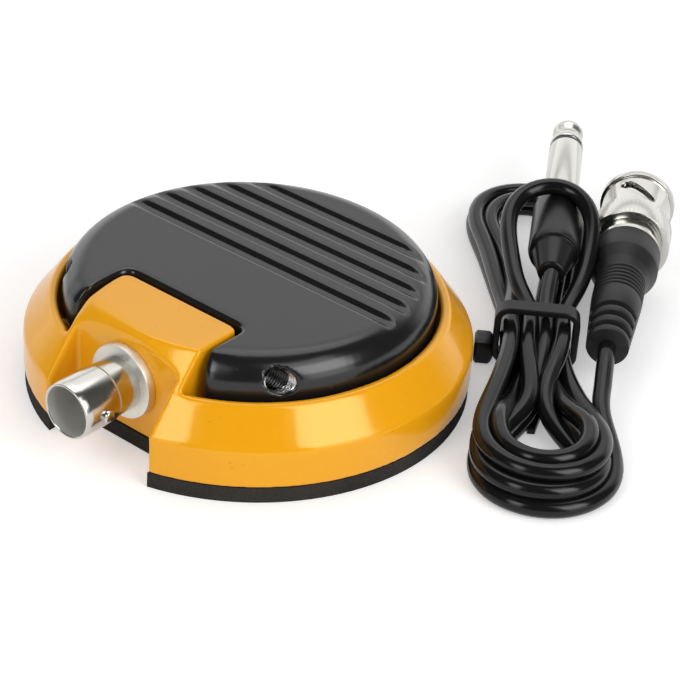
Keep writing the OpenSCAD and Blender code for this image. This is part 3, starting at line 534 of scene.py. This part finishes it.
def roundCorners(points, radius, steps=3):
    out = [points[0]]
    for a, b, c in zip(points, points[1:], points[2:]):
        a, b, c = Vector(a), Vector(b), Vector(c)
        r = min(radius, (a - b).length * 0.45, (c - b).length * 0.45)
        p, q = b + (a - b).normalized() * r, b + (c - b).normalized() * r
        for i in range(steps + 1):
            u = i / steps
            out.append(tuple(p * (1 - u) ** 2 + b * 2 * u * (1 - u) + q * u * u))
    return out + [points[-1]]


def latheMesh(name, profile, matrix, sides=80, ripple=None):
    rows = []
    for r, z in profile:
        row = []
        for k in range(sides):
            a = 2 * math.pi * k / sides
            q = r + (ripple(a, r, z) if ripple else 0)
            row.append(matrix @ (Vector((q * math.cos(a), q * math.sin(a), z)) * mm))
        rows.append(row)
    return gridMesh(name, rows)


def softCopy(node, width, body, name, sharp=40):
    # the CAD piece with its sharp edges broken
    obj = nodeCopy(node, name, 0.000002)
    bev = obj.modifiers.new("bevel", "BEVEL")
    bev.width = width * mm
    bev.segments = 3
    bev.limit_method = "ANGLE"
    bev.angle_limit = math.radians(35)
    mesh = appliedMesh(obj)
    bpy.data.objects.remove(obj)
    shadeSmooth(mesh, sharp)
    addPiece(name, mesh, slotOf[node], body, node)


# castings: the CAD skin remeshed, then eased so that the painted edges turn softly
castingSet = {"base_casting": {"voxel": 0.32, "rounds": 9, "extra": 80, "shellR": 10, "shellZ": 5,
                               "body": "base"},
              "treadle": {"voxel": 0.3, "rounds": 3, "extra": 24, "lobe": 90, "shellR": 24, "shellZ": 19.4,
                          "body": "treadle"}}


def fade(v, start, end):
    return np.clip((v - start) / (end - start), 0, 1)


# the notch's edges turn softly and the grooves' lips a little; the pivot holes stay crisp
notchSet = {"x": (18, 16), "y": (-13, -14.5), "z": (15, 16), "lipDown": (0.55, 0.35), "lipY": (-2, 0),
            "endR": (25, 26.5), "endY": (-1, 1), "endZ": (18.4, 19), "lips": 0.12}


def treadleEase(p, s):
    x, y, z = np.abs(p[:, 0]), p[:, 1], p[:, 2]
    notch = fade(x, *s["x"]) * fade(y, *s["y"]) * fade(z, *s["z"])
    lips = fade(z, *(treadleTop - d for d in s["lipDown"])) * fade(y, *s["lipY"])
    ends = fade(np.hypot(x, y), *s["endR"]) * fade(y, *s["endY"]) * fade(z, *s["endZ"])
    return np.maximum(notch, np.maximum(lips, ends) * s["lips"])


# the lobes' front corners beside the block turn widest
lobeSet = {"x": (18, 16), "y": (-20.5, -23), "z": (21, 20)}


def lobeEase(p, s):
    return fade(np.abs(p[:, 0]), *s["x"]) * fade(p[:, 1], *s["y"]) * fade(p[:, 2], *s["z"])


# the grooves have a flat floor and run out through the rounded rim at both ends
grooveSet = {"y": 1.55, "pitch": 4.93, "count": 5, "half": 1.4, "floor": 0.7, "depth": 0.8, "flatR": 26.4,
             "within": 2.5}


def runOut(p, s):
    flat = np.hypot(p[:, 0], p[:, 1]) < s["flatR"]
    for i in range(s["count"]):
        dy = np.abs(p[:, 1] - s["y"] - i * s["pitch"])
        cut = treadleTop - s["depth"] * fade(dy, s["half"], s["floor"])
        move = (dy < s["half"]) & (p[:, 2] > treadleTop - s["within"]) & (flat | (p[:, 2] > cut))
        p[move, 2] = cut[move]
    return p


# the painted rim is wider to the inside than the solid's, and less so beside the lobes
lipSet = {"inR": 32.2, "outR": 33.2, "spare": 0.3, "z": (12.6, 13.6), "frontX": (12.6, 14.2),
          "more": 0.75, "lobes": 0.5, "lobeY": (-16, -10)}


def widenRim(p, s):
    x, y, z = np.abs(p[:, 0]), p[:, 1], p[:, 2]
    r = np.hypot(x, y)
    more = s["lobes"] + (s["more"] - s["lobes"]) * fade(y, *s["lobeY"])
    lip = (r > s["inR"] - s["spare"]) * np.where(y > 0, 1, fade(x, *s["frontX"]))
    shift = more * lip * fade(r, s["outR"], s["inR"]) * fade(z, *s["z"])
    p[:, :2] *= (1 - shift / np.maximum(r, 1))[:, None]
    return p


# the block's top turns softly into its sloping front at the left; the right corner stays crisp
blockSet = {"r": 28.4, "z": 21.3, "reach": (6, 0.5), "rise": (17, 19), "leftX": (4, -4)}


def blockEase(p, s):
    d = np.hypot(np.hypot(p[:, 0], p[:, 1]) - s["r"], p[:, 2] - s["z"])
    left = fade(p[:, 0], *s["leftX"]) * (p[:, 1] < 0)
    return fade(d, *s["reach"]) ** 2 * fade(p[:, 2], *s["rise"]) * left


# the wall's end to the right of the jack keeps a crisper edge
wingSet = {"x": (9.5, 10.5), "farX": (14.2, 13), "y": (-24, -25.5), "z": (8, 10), "hold": 0.75}


def wingHold(p, s):
    x, y, z = p[:, 0], p[:, 1], p[:, 2]
    return 1 - s["hold"] * fade(x, *s["x"]) * fade(x, *s["farX"]) * fade(y, *s["y"]) * fade(z, *s["z"])


def outside(p, s):
    # the middle of the underside keeps its pockets and seats as remeshed
    r, z = np.hypot(p[:, 0], p[:, 1]), p[:, 2]
    return 1 - fade(r, s["shellR"] + 1, s["shellR"]) * fade(z, s["shellZ"] + 0.5, s["shellZ"])


def easeSkin(p, edges, weight, rounds):
    n = len(p)
    a, b = np.concatenate([edges[:, 0], edges[:, 1]]), np.concatenate([edges[:, 1], edges[:, 0]])
    count = np.bincount(a, minlength=n)[:, None]
    for i in range(rounds):
        mean = np.stack([np.bincount(a, weights=p[b, k], minlength=n) for k in range(3)], axis=1) / count
        p = p + (mean - p) * 0.5 * weight[:, None]
    return p


def softCasting(node, s):
    obj = nodeCopy(node, node + "Skin", 0.00001)
    remesh = obj.modifiers.new("remesh", "REMESH")
    remesh.mode = "VOXEL"
    remesh.voxel_size = s["voxel"] * mm
    remesh.use_smooth_shade = True
    skin = appliedMesh(obj)
    obj.modifiers.clear()
    obj.data = skin
    co, edges = np.empty(len(skin.vertices) * 3), np.empty(len(skin.edges) * 2, dtype=int)
    skin.vertices.foreach_get("co", co)
    skin.edges.foreach_get("vertices", edges)
    p, edges = co.reshape(-1, 3) / mm, edges.reshape(-1, 2)
    if node == "treadle":
        p = runOut(p, grooveSet)
        p = easeSkin(p, edges, outside(p, s), s["rounds"])
        p = easeSkin(p, edges, treadleEase(p, notchSet), s["extra"])
        p = easeSkin(p, edges, lobeEase(p, lobeSet), s["lobe"])
    else:
        p = widenRim(p, lipSet)
        p = easeSkin(p, edges, outside(p, s) * wingHold(p, wingSet), s["rounds"])
        p = easeSkin(p, edges, blockEase(p, blockSet), s["extra"])
    skin.vertices.foreach_set("co", (p * mm).ravel())
    skin.update()
    shadeSmooth(skin)
    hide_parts(node)
    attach(obj, s["body"])
    dress(obj, slotOf[node])
    print(node, "skin faces", len(skin.polygons))


for node, s in castingSet.items():
    softCasting(node, s)
print("stage: castings")


# return spring: the CAD coil as a smooth-shaded piece with a mesh of its own
springSet = {"hingeY": -19.3, "travel": 3, "spare": 0.15, "sharp": 60}


def makeSpring(s):
    mesh = nodes["return_spring"].data.copy()
    finishMesh(mesh, s["sharp"])
    coil = addPiece("springCoil", mesh, slotOf["return_spring"], "base", "return_spring")
    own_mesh(coil)


makeSpring(springSet)
print("stage: spring")


# jack: the barrel with its tapered lip and the step behind the lugs, the bore, the flange and the two lugs
jackSet = {"noseR": 4.8, "noseL": 7.2, "neckR": 4.55, "step": 0.3, "sunk": 0.2, "lipFlat": 0.1,
           "lipIn": 0.16, "lipL": 1.2, "mouthR": 4.25, "mouthIn": 0.12, "mouthL": 1.3, "boreR": 4.06,
           "boreL": 8, "boreEdge": 0.3, "coreR": 3.22, "tailR": 4.5, "flangeS": 11.8, "flangeT": 1.6,
           "flangeIn": 0.1, "edge": 0.16, "lugR": 1.0, "lugAt": 4.2, "lugReach": 5.5, "lugTurn": 5,
           "lugRoot": 0.4, "lugEdge": 0.3, "sides": 96, "lugSides": 32}


def makeJack(s):
    low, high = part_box("jack_shell")
    zc, flangeR, end = (low[2] + high[2]) / 2, (high[0] - low[0]) / 2 / mm, (high[1] - low[1]) / mm
    m = axisMatrix(Vector((0, low[1], zc)), (0, 1, 0))
    back = s["flangeS"] + s["flangeT"]
    barrel = [(s["mouthR"], s["mouthIn"]), (s["mouthR"] + s["lipFlat"], 0), (s["noseR"] - s["lipIn"], 0),
              (s["noseR"], s["lipL"]), (s["noseR"], s["noseL"]), (s["neckR"], s["noseL"] + s["step"]),
              (s["neckR"], s["flangeS"] + s["sunk"])]
    mesh = latheMesh("jackBarrel", roundCorners(barrel, s["edge"]), m, s["sides"])
    addPiece("jackBarrel", mesh, "nickel", "base", "jack_shell")
    washer = [(s["neckR"] - s["flangeIn"], s["flangeS"]), (flangeR, s["flangeS"]), (flangeR, back),
              (s["tailR"], back), (s["tailR"], end), (s["coreR"], end)]
    mesh = latheMesh("jackFlange", roundCorners(washer, s["edge"]), m, s["sides"])
    addPiece("jackFlange", mesh, "nickel", "base", look="satin")
    bore = [(s["mouthR"], s["mouthIn"]), (s["boreR"], s["mouthL"]), (s["boreR"], s["boreL"]),
            (s["coreR"], s["boreL"]), (s["coreR"], end)]
    mesh = latheMesh("jackBore", roundCorners(bore, s["boreEdge"]), m, s["sides"])
    addPiece("jackBore", mesh, "nickel", "base", look="bore")
    a = math.radians(s["lugTurn"])
    for side in (1, -1):
        out = Vector((side * math.cos(a), 0, -side * math.sin(a)))
        root = Vector((0, low[1] + s["lugAt"] * mm, zc)) + out * (s["neckR"] - s["lugRoot"]) * mm
        h = s["lugReach"] - s["neckR"] + s["lugRoot"]
        pin = roundCorners([(0, 0), (s["lugR"], 0), (s["lugR"], h), (0, h)], s["lugEdge"])
        mesh = latheMesh("jackLug", pin, axisMatrix(root, out), s["lugSides"])
        addPiece("jackLug", mesh, "nickel", "base")


makeJack(jackSet)
print("stage: jack")


# thread in the pivot holes, from the screw out to the treadle's skin: painted shade darkens it for the
# holes' depth, except at the right mouth, which is bright steel
threadSet = {"from": 19.4, "y": -19.3, "z": 17.8, "r": 1.98, "depth": 0.22, "pitch": 0.5, "edgeR": 5,
             "inset": 0.5, "steps": 60, "bare": 44, "fadeSteps": 5, "sides": 72}


def skinAt(y, z):
    # how far to the side the treadle's skin lies at y and z
    e = threadSet["edgeR"]
    rise = max(z - treadleTop + e, 0)
    return math.sqrt((treadleReach - e + math.sqrt(e ** 2 - rise ** 2)) ** 2 - y * y)


def makeThread(s, side, end):
    rows = []
    for i in range(s["steps"] + 1):
        row = []
        for k in range(s["sides"]):
            a = 2 * math.pi * k / s["sides"]
            skin = skinAt(s["y"] + s["r"] * math.cos(a), s["z"] + s["r"] * math.sin(a))
            x = s["from"] + (skin - s["inset"] - s["from"]) * i / s["steps"]
            tooth = abs(2 * ((x / s["pitch"] + k / s["sides"]) % 1) - 1)
            r = s["r"] - s["depth"] * tooth * min(1, (s["steps"] - i) / s["fadeSteps"])
            row.append(Vector((side * x, s["y"] + r * math.cos(a), s["z"] + r * math.sin(a))) * mm)
        rows.append(row)
    # the inner rows, and the left mouth as well, take the painted shade of the deep hole
    inner = gridMesh("pivotThread" + end, rows[:s["bare"] + 1])
    addPiece("pivotThread" + end, inner, "steel", "treadle", look="thread")
    mouth = gridMesh("pivotMouth" + end, rows[s["bare"]:])
    addPiece("pivotMouth" + end, mouth, "steel", "treadle", look=None if side > 0 else "thread")


# bare metal edge at each pivot hole's mouth, kept to a crescent at the lower left where the edge shows
# bright: partly a real bare edge, partly a painted highlight
rimSet = {"inR": 1.95, "outR": 2.15, "lip": 0.12, "lifts": (-0.5, -0.2, -0.05, -0.2), "sides": 40,
          "start": 150, "end": 280, "taper": 4}


def makeRim(s, side, end):
    radii = (s["inR"], s["inR"] + s["lip"], (s["inR"] + s["outR"]) / 2, s["outR"])
    rows = []
    for r, lift in zip(radii, s["lifts"]):
        row = []
        for k in range(s["sides"] + 1):
            u = k / s["sides"]
            a = math.radians(s["start"] + (s["end"] - s["start"]) * u)
            q = s["inR"] + (r - s["inR"]) * min(1, s["taper"] * u, s["taper"] * (1 - u))
            y, z = threadSet["y"] + q * math.cos(a), threadSet["z"] + q * math.sin(a)
            row.append(Vector((side * (skinAt(y, z) + lift), y, z)) * mm)
        rows.append(row)
    name = "pivotRim" + end
    addPiece(name, gridMesh(name, rows, closed=False), "steel", "treadle")


for side, end in ((1, "Right"), (-1, "Left")):
    makeThread(threadSet, side, end)
    makeRim(rimSet, side, end)
print("stage: threads")


# cable tie: a thin band round the strands, its head at the left and its pointed tail on the floor
tieSet = {"half": 7.2, "top": 11.2, "t": 1.1, "w": 3.2, "corner": 2.6, "edge": 0.2, "arc": 8,
          "head": 4.4, "headD": 3, "headSides": 24, "headCorner": 0.93, "cornerFrom": 0.6,
          "tail": 22, "point": 5, "pointW": 1.2, "tailEdge": 0.15, "tailTaper": 0.98, "tailCap": 0.3}
# rows of the head: from its root 0 or its end 1, shift outwards, inset
headRows = ((0, -0.3, 0.9), (0, 0.05, 0.3), (0, 0.5, 0), (1, -0.4, 0), (1, 0, 0.4), (1, 0, 1.6))


def makeBand(s):
    path = []
    for cl, cz, start in ((1, 1, 0), (-1, 1, 90), (-1, 0, 180), (1, 0, 270)):
        c = (cl * (s["half"] - s["corner"]), s["top"] - s["corner"] if cz else s["corner"])
        for k in range(s["arc"] + 1):
            a = math.radians(start + 90 * k / s["arc"])
            path.append((c, math.cos(a), math.sin(a)))
    half, e, t = s["w"] / 2, s["edge"], s["t"]
    ring = [(-half, e), (-half, t - e), (-half + e, t), (half - e, t), (half, t - e), (half, e),
            (half - e, 0), (-half + e, 0)]
    bends = [(w, s["corner"] - q) for w, q in ring]
    rows = []
    for c, dx, dz in path + path[:1]:
        rows.append([leadPoint(w, c[0] + dx * r, c[1] + dz * r) for w, r in bends])
    addPiece("tieBand", gridMesh("tieBand", rows), "tie_black", "base", "cable_tie")


def makeHead(s):
    b, n = s["head"] / 2, s["headSides"]
    rows = []
    for end, shift, inset in headRows:
        left = s["half"] + end * s["headD"] + shift
        row = []
        for k in range(n):
            u = 2 * math.pi * k / n
            cu, su = math.cos(u), math.sin(u)
            small, large = sorted((abs(cu), abs(su)))
            q = (b - inset) / large * (s["headCorner"] if small > s["cornerFrom"] else 1)
            row.append(leadPoint(q * cu, left, b + q * su))
        rows.append(row)
    addPiece("tieHead", gridMesh("tieHead", rows), "tie_black", "base")


def makeTail(s):
    half, point, t, e = s["w"] / 2, s["pointW"] / 2, s["t"], s["tailEdge"]
    neck, end = s["point"] - s["tail"], -s["tail"]
    outline = [(0, half), (neck, half), (end, point), (end, -point), (neck, -half), (0, -half)]
    heights = ((0, s["tailTaper"]), (e, 1), (t - e, 1), (t, s["tailTaper"]), (t, s["tailCap"]))
    rows = [[leadPoint(a * k, left * k, z) for a, left in outline] for z, k in heights]
    addPiece("tieTail", gridMesh("tieTail", rows), "tie_black", "base")


makeBand(tieSet)
makeHead(tieSet)
makeTail(tieSet)
print("stage: cable tie")


# phone plug: moulded handle, bright sleeve, black ring and turned tip
handleSet = {"reliefR": 2.3, "reliefEndR": 3.8, "reliefL": 7, "r": 4.6, "l": 20, "edge": 0.5,
             "shoulderIn": 0.3, "shoulderL": 1.2, "capIn": 0.35, "capFrom": 5, "capFull": 4.6,
             "sleeveR": 3.17, "sleeveL": 19.5, "sleeveEdge": 0.15, "ringR": 3.07, "ringL": 1,
             "tipL": 10.5, "tipEdge": 0.9, "tipSteps": 5, "bandL": 2, "neckR": 2.2, "neckAt": 4.1,
             "ballR": 3.1, "ballAt": 6.4, "endR": 1.1, "endIn": 0.4, "endL": 0.2}


def makePhone(s):
    m = leadMatrix(phoneSet)
    top = s["reliefL"] + s["l"]
    capR = s["r"] - s["capIn"]
    handle = [(0, 0), (s["reliefR"], 0), (s["reliefEndR"], s["reliefL"]),
              (s["r"] - s["shoulderIn"], s["reliefL"]), (s["r"], s["reliefL"] + s["shoulderL"]),
              (s["r"], top - s["capFrom"]), (capR, top - s["capFull"]), (capR, top), (0, top)]
    mesh = latheMesh("phoneGrip", roundCorners(handle, s["edge"]), m)
    addPiece("phoneGrip", mesh, "handle_black", "base", "phone_handle")
    a = top + s["sleeveL"]
    sleeve = [(0, top), (s["sleeveR"], top), (s["sleeveR"], a), (0, a)]
    mesh = latheMesh("phoneShaft", roundCorners(sleeve, s["sleeveEdge"]), m)
    addPiece("phoneShaft", mesh, "nickel", "base", "phone_sleeve")
    b = a + s["ringL"]
    ring = [(0, a), (s["ringR"], a), (s["ringR"], b), (0, b)]
    addPiece("phoneBand", latheMesh("phoneBand", ring, m), "handle_black", "base", "phone_ring")
    end = b + s["tipL"]
    tip = [(0, b), (s["sleeveR"], b), (s["sleeveR"], b + s["bandL"]), (s["neckR"], b + s["neckAt"]),
           (s["ballR"], b + s["ballAt"]), (s["endR"], end - s["endL"]), (s["endR"] - s["endIn"], end),
           (0, end)]
    mesh = latheMesh("phoneNose", roundCorners(tip, s["tipEdge"], s["tipSteps"]), m)
    addPiece("phoneNose", mesh, "nickel", "base", "phone_tip")


makePhone(handleSet)
print("stage: phone plug")


# bayonet plug: ribbed boot, collar, and the coupling with its knurl
bootSet = {"tailR": 3.6, "midR": 4.4, "r": 6, "l": 32, "headL": 6.4, "headEdge": 0.6, "neckL": 4,
           "neckOut": 0.5, "slots": 3, "slotW": 1.5, "slotD": 0.9, "slotStep": 3, "rings": 6, "ringW": 0.6,
           "ringD": 0.4, "ringStep": 1.2, "slope": 0.08, "spine": 16, "spineR": 1, "edge": 0.22,
           "edgeSteps": 2, "sides": 96}


def makeBoot(s):
    headZ = s["l"] - s["headL"]
    neckZ = headZ - s["neckL"]
    ringZ = neckZ - s["rings"] * s["ringStep"]

    def base(z):
        return s["tailR"] + (s["midR"] - s["tailR"]) * min(z / ringZ, 1)

    pts = [(0, 0), (base(0), 0)]
    cuts = [(s["slotW"] + i * s["slotStep"], s["slotW"], s["slotD"]) for i in range(s["slots"])]
    cuts += [(ringZ + i * s["ringStep"], s["ringW"], s["ringD"]) for i in range(s["rings"])]
    for z, w, d in cuts:
        r = base(z)
        pts += [(r, z), (r - d, z + s["slope"]), (r - d, z + w - s["slope"]), (r, z + w)]
    pts += [(s["midR"], neckZ), (s["midR"] + s["neckOut"], headZ - s["neckL"] / 2),
            (s["r"], headZ + s["headEdge"]), (s["r"], s["l"]), (0, s["l"])]

    def spine(a, r, z):
        # two ridges along the tail leave the flex slots open between them
        ridge = abs(math.cos(a)) > math.cos(math.radians(s["spine"]))
        inSlot = z < s["slotW"] + s["slots"] * s["slotStep"] and r > s["spineR"]
        return base(z) - r if ridge and inSlot else 0

    profile = roundCorners(pts, s["edge"], s["edgeSteps"])
    mesh = latheMesh("plugBootRibbed", profile, leadMatrix(plugSet), s["sides"], spine)
    addPiece("plugBootRibbed", mesh, "boot_rubber", "base", "plug_boot")


knurlSet = {"from": 35.25, "l": 5.5, "r": 7.22, "rootIn": 0.7, "edgeIn": 0.25, "edgeL": 0.3, "skin": 0.1,
            "ridges": 60, "perRidge": 6, "depth": 0.2}


def makeKnurl(s):
    def ridge(a, r, z):
        tooth = abs(2 * ((a * s["ridges"] / (2 * math.pi)) % 1) - 1)
        return -s["depth"] * tooth if r > s["r"] - s["skin"] else 0

    z0, z1 = s["from"], s["from"] + s["l"]
    root, edge = s["r"] - s["rootIn"], s["r"] - s["edgeIn"]
    profile = [(root, z0), (edge, z0), (s["r"], z0 + s["edgeL"]), (s["r"], z1 - s["edgeL"]), (edge, z1),
               (root, z1)]
    mesh = latheMesh("plugKnurl", profile, leadMatrix(plugSet), s["ridges"] * s["perRidge"], ridge)
    addPiece("plugKnurl", mesh, "nickel", "coupling")


makeBoot(bootSet)
softCopy("plug_body", 0.2, "base", "plugCollar")
softCopy("plug_coupling", 0.16, "coupling", "plugSleeve")
makeKnurl(knurlSet)
print("stage: bayonet plug")


# stage and light: the levels and strips are what shows in reflections
stageSet = {"floor": 0.92, "size": 3.0, "drop": 0.00005, "rough": 0.9, "spec": 0.1, "lift": 0.34,
            "mirror": 0.3, "fill": 0.6, "front": 0.08, "gain": 4, "backAz": 220, "backEdge": (0.3, 0.65),
            "topEl": 56, "topEdge": (0.86, 0.94),
            "levels": ((0, 1.3), (0.27, 1.25), (0.4, 0.75), (0.46, 0.85), (0.54, 1.3), (0.76, 1.3),
                       (0.82, 2.4)),
            "strips": ((2, 0.14, 0.7, 2.0), (88, 0.27, 0.92, 2.6)),
            "stripSide": 0.85, "stripTop": 0.06, "stripFront": (0.1, 0.2)}


def makeFloor(s):
    bpy.ops.mesh.primitive_plane_add(size=s["size"], location=(0, 0, -s["drop"]))
    floor = bpy.context.object
    floor.name = "studioFloor"
    mat = bpy.data.materials.new("studioFloor")
    mat.use_nodes = True
    tree = mat.node_tree
    b = tree.nodes["Principled BSDF"]
    b.inputs["Base Color"].default_value = (s["floor"], s["floor"], s["floor"], 1)
    b.inputs["Roughness"].default_value = s["rough"]
    b.inputs["Specular IOR Level"].default_value = s["spec"]
    b.inputs["Emission Color"].default_value = (1, 1, 1, 1)
    # the floor glows to the camera, and part of that glow shows in reflections
    path = tree.nodes.new("ShaderNodeLightPath")
    glow = mathNode(tree, "MULTIPLY", path.outputs["Is Glossy Ray"], s["mirror"])
    lift = mathNode(tree, "MULTIPLY_ADD", path.outputs["Is Camera Ray"], s["lift"], glow)
    tree.links.new(lift, b.inputs["Emission Strength"])
    floor.data.materials.append(mat)


def makeWorld(s):
    # white to the camera, even for soft light, and a bright back wall in reflections
    world = bpy.data.worlds.new("studio")
    scene.world = world
    world.use_nodes = True
    tree = world.node_tree
    tree.nodes.clear()
    new, link = tree.nodes.new, tree.links.new
    coord, split = new("ShaderNodeTexCoord"), new("ShaderNodeSeparateXYZ")
    link(coord.outputs["Generated"], split.inputs[0])

    def ramp(value, low, high, end):
        m = new("ShaderNodeMapRange")
        m.interpolation_type = "SMOOTHSTEP"
        link(value, m.inputs["Value"])
        for name, v in (("From Min", low), ("From Max", high), ("To Min", 0), ("To Max", end)):
            m.inputs[name].default_value = v
        return m.outputs[0]

    def facing(az, el):
        d = new("ShaderNodeVectorMath")
        d.operation = "DOT_PRODUCT"
        d.inputs[1].default_value = direction(az, el)
        link(coord.outputs["Generated"], d.inputs[0])
        return d.outputs["Value"]

    level = new("ShaderNodeValToRGB")
    stops = level.color_ramp.elements
    for i, (z, v) in enumerate(s["levels"]):
        stop = stops[i] if i < 2 else stops.new(z)
        stop.position = z
        stop.color = (v / s["gain"], v / s["gain"], v / s["gain"], 1)
    link(split.outputs["Z"], level.inputs[0])
    back = ramp(facing(s["backAz"], 0), *s["backEdge"], s["gain"])
    above = ramp(facing(s["backAz"], s["topEl"]), *s["topEdge"], s["gain"])
    bright = mathNode(tree, "MAXIMUM", back, above)
    wall = mathNode(tree, "MULTIPLY_ADD", level.outputs["Color"], bright, s["front"])
    for az, wide, reach, glow in s["strips"]:
        side = mathNode(tree, "ABSOLUTE", facing(az + 90, 0))
        across = ramp(side, wide, wide * s["stripSide"], glow)
        height = ramp(split.outputs["Z"], reach, reach - s["stripTop"], 1)
        ahead = ramp(facing(az, 0), *s["stripFront"], 1)
        strip = mathNode(tree, "MULTIPLY", mathNode(tree, "MULTIPLY", across, height), ahead)
        wall = mathNode(tree, "MAXIMUM", wall, strip)
    path, out = new("ShaderNodeLightPath"), new("ShaderNodeOutputWorld")
    seen, soft, mirror = (new("ShaderNodeBackground") for k in range(3))
    for b in (seen, soft, mirror):
        b.inputs["Color"].default_value = (1, 1, 1, 1)
    soft.inputs["Strength"].default_value = s["fill"]
    link(wall, mirror.inputs["Strength"])
    pick, show = new("ShaderNodeMixShader"), new("ShaderNodeMixShader")
    link(path.outputs["Is Glossy Ray"], pick.inputs[0])
    link(soft.outputs[0], pick.inputs[1])
    link(mirror.outputs[0], pick.inputs[2])
    link(path.outputs["Is Camera Ray"], show.inputs[0])
    link(pick.outputs[0], show.inputs[1])
    link(seen.outputs[0], show.inputs[2])
    link(show.outputs[0], out.inputs["Surface"])


lightSet = [
    {"name": "boxLeft", "az": 2, "el": 36, "dist": 0.8, "w": 0.24, "h": 0.42, "glow": 3.2},
    {"name": "boxRight", "az": 88, "el": 33, "dist": 0.8, "w": 0.46, "h": 0.42, "glow": 3.4},
]


def makeLight(s):
    back = direction(s["az"], s["el"])
    data = bpy.data.lights.new(s["name"], "AREA")
    data.shape = "RECTANGLE"
    data.size = s["w"]
    data.size_y = s["h"]
    data.energy = s["glow"] * math.pi * s["w"] * s["h"]
    obj = bpy.data.objects.new(s["name"], data)
    obj.location = back * s["dist"]
    obj.rotation_mode = "QUATERNION"
    obj.rotation_quaternion = back.to_track_quat("Z", "Y")
    scene.collection.objects.link(obj)


makeFloor(stageSet)
makeWorld(stageSet)
for s in lightSet:
    makeLight(s)
scene.view_settings.view_transform = "Standard"
print("stage: light")

bpy.context.view_layer.update()
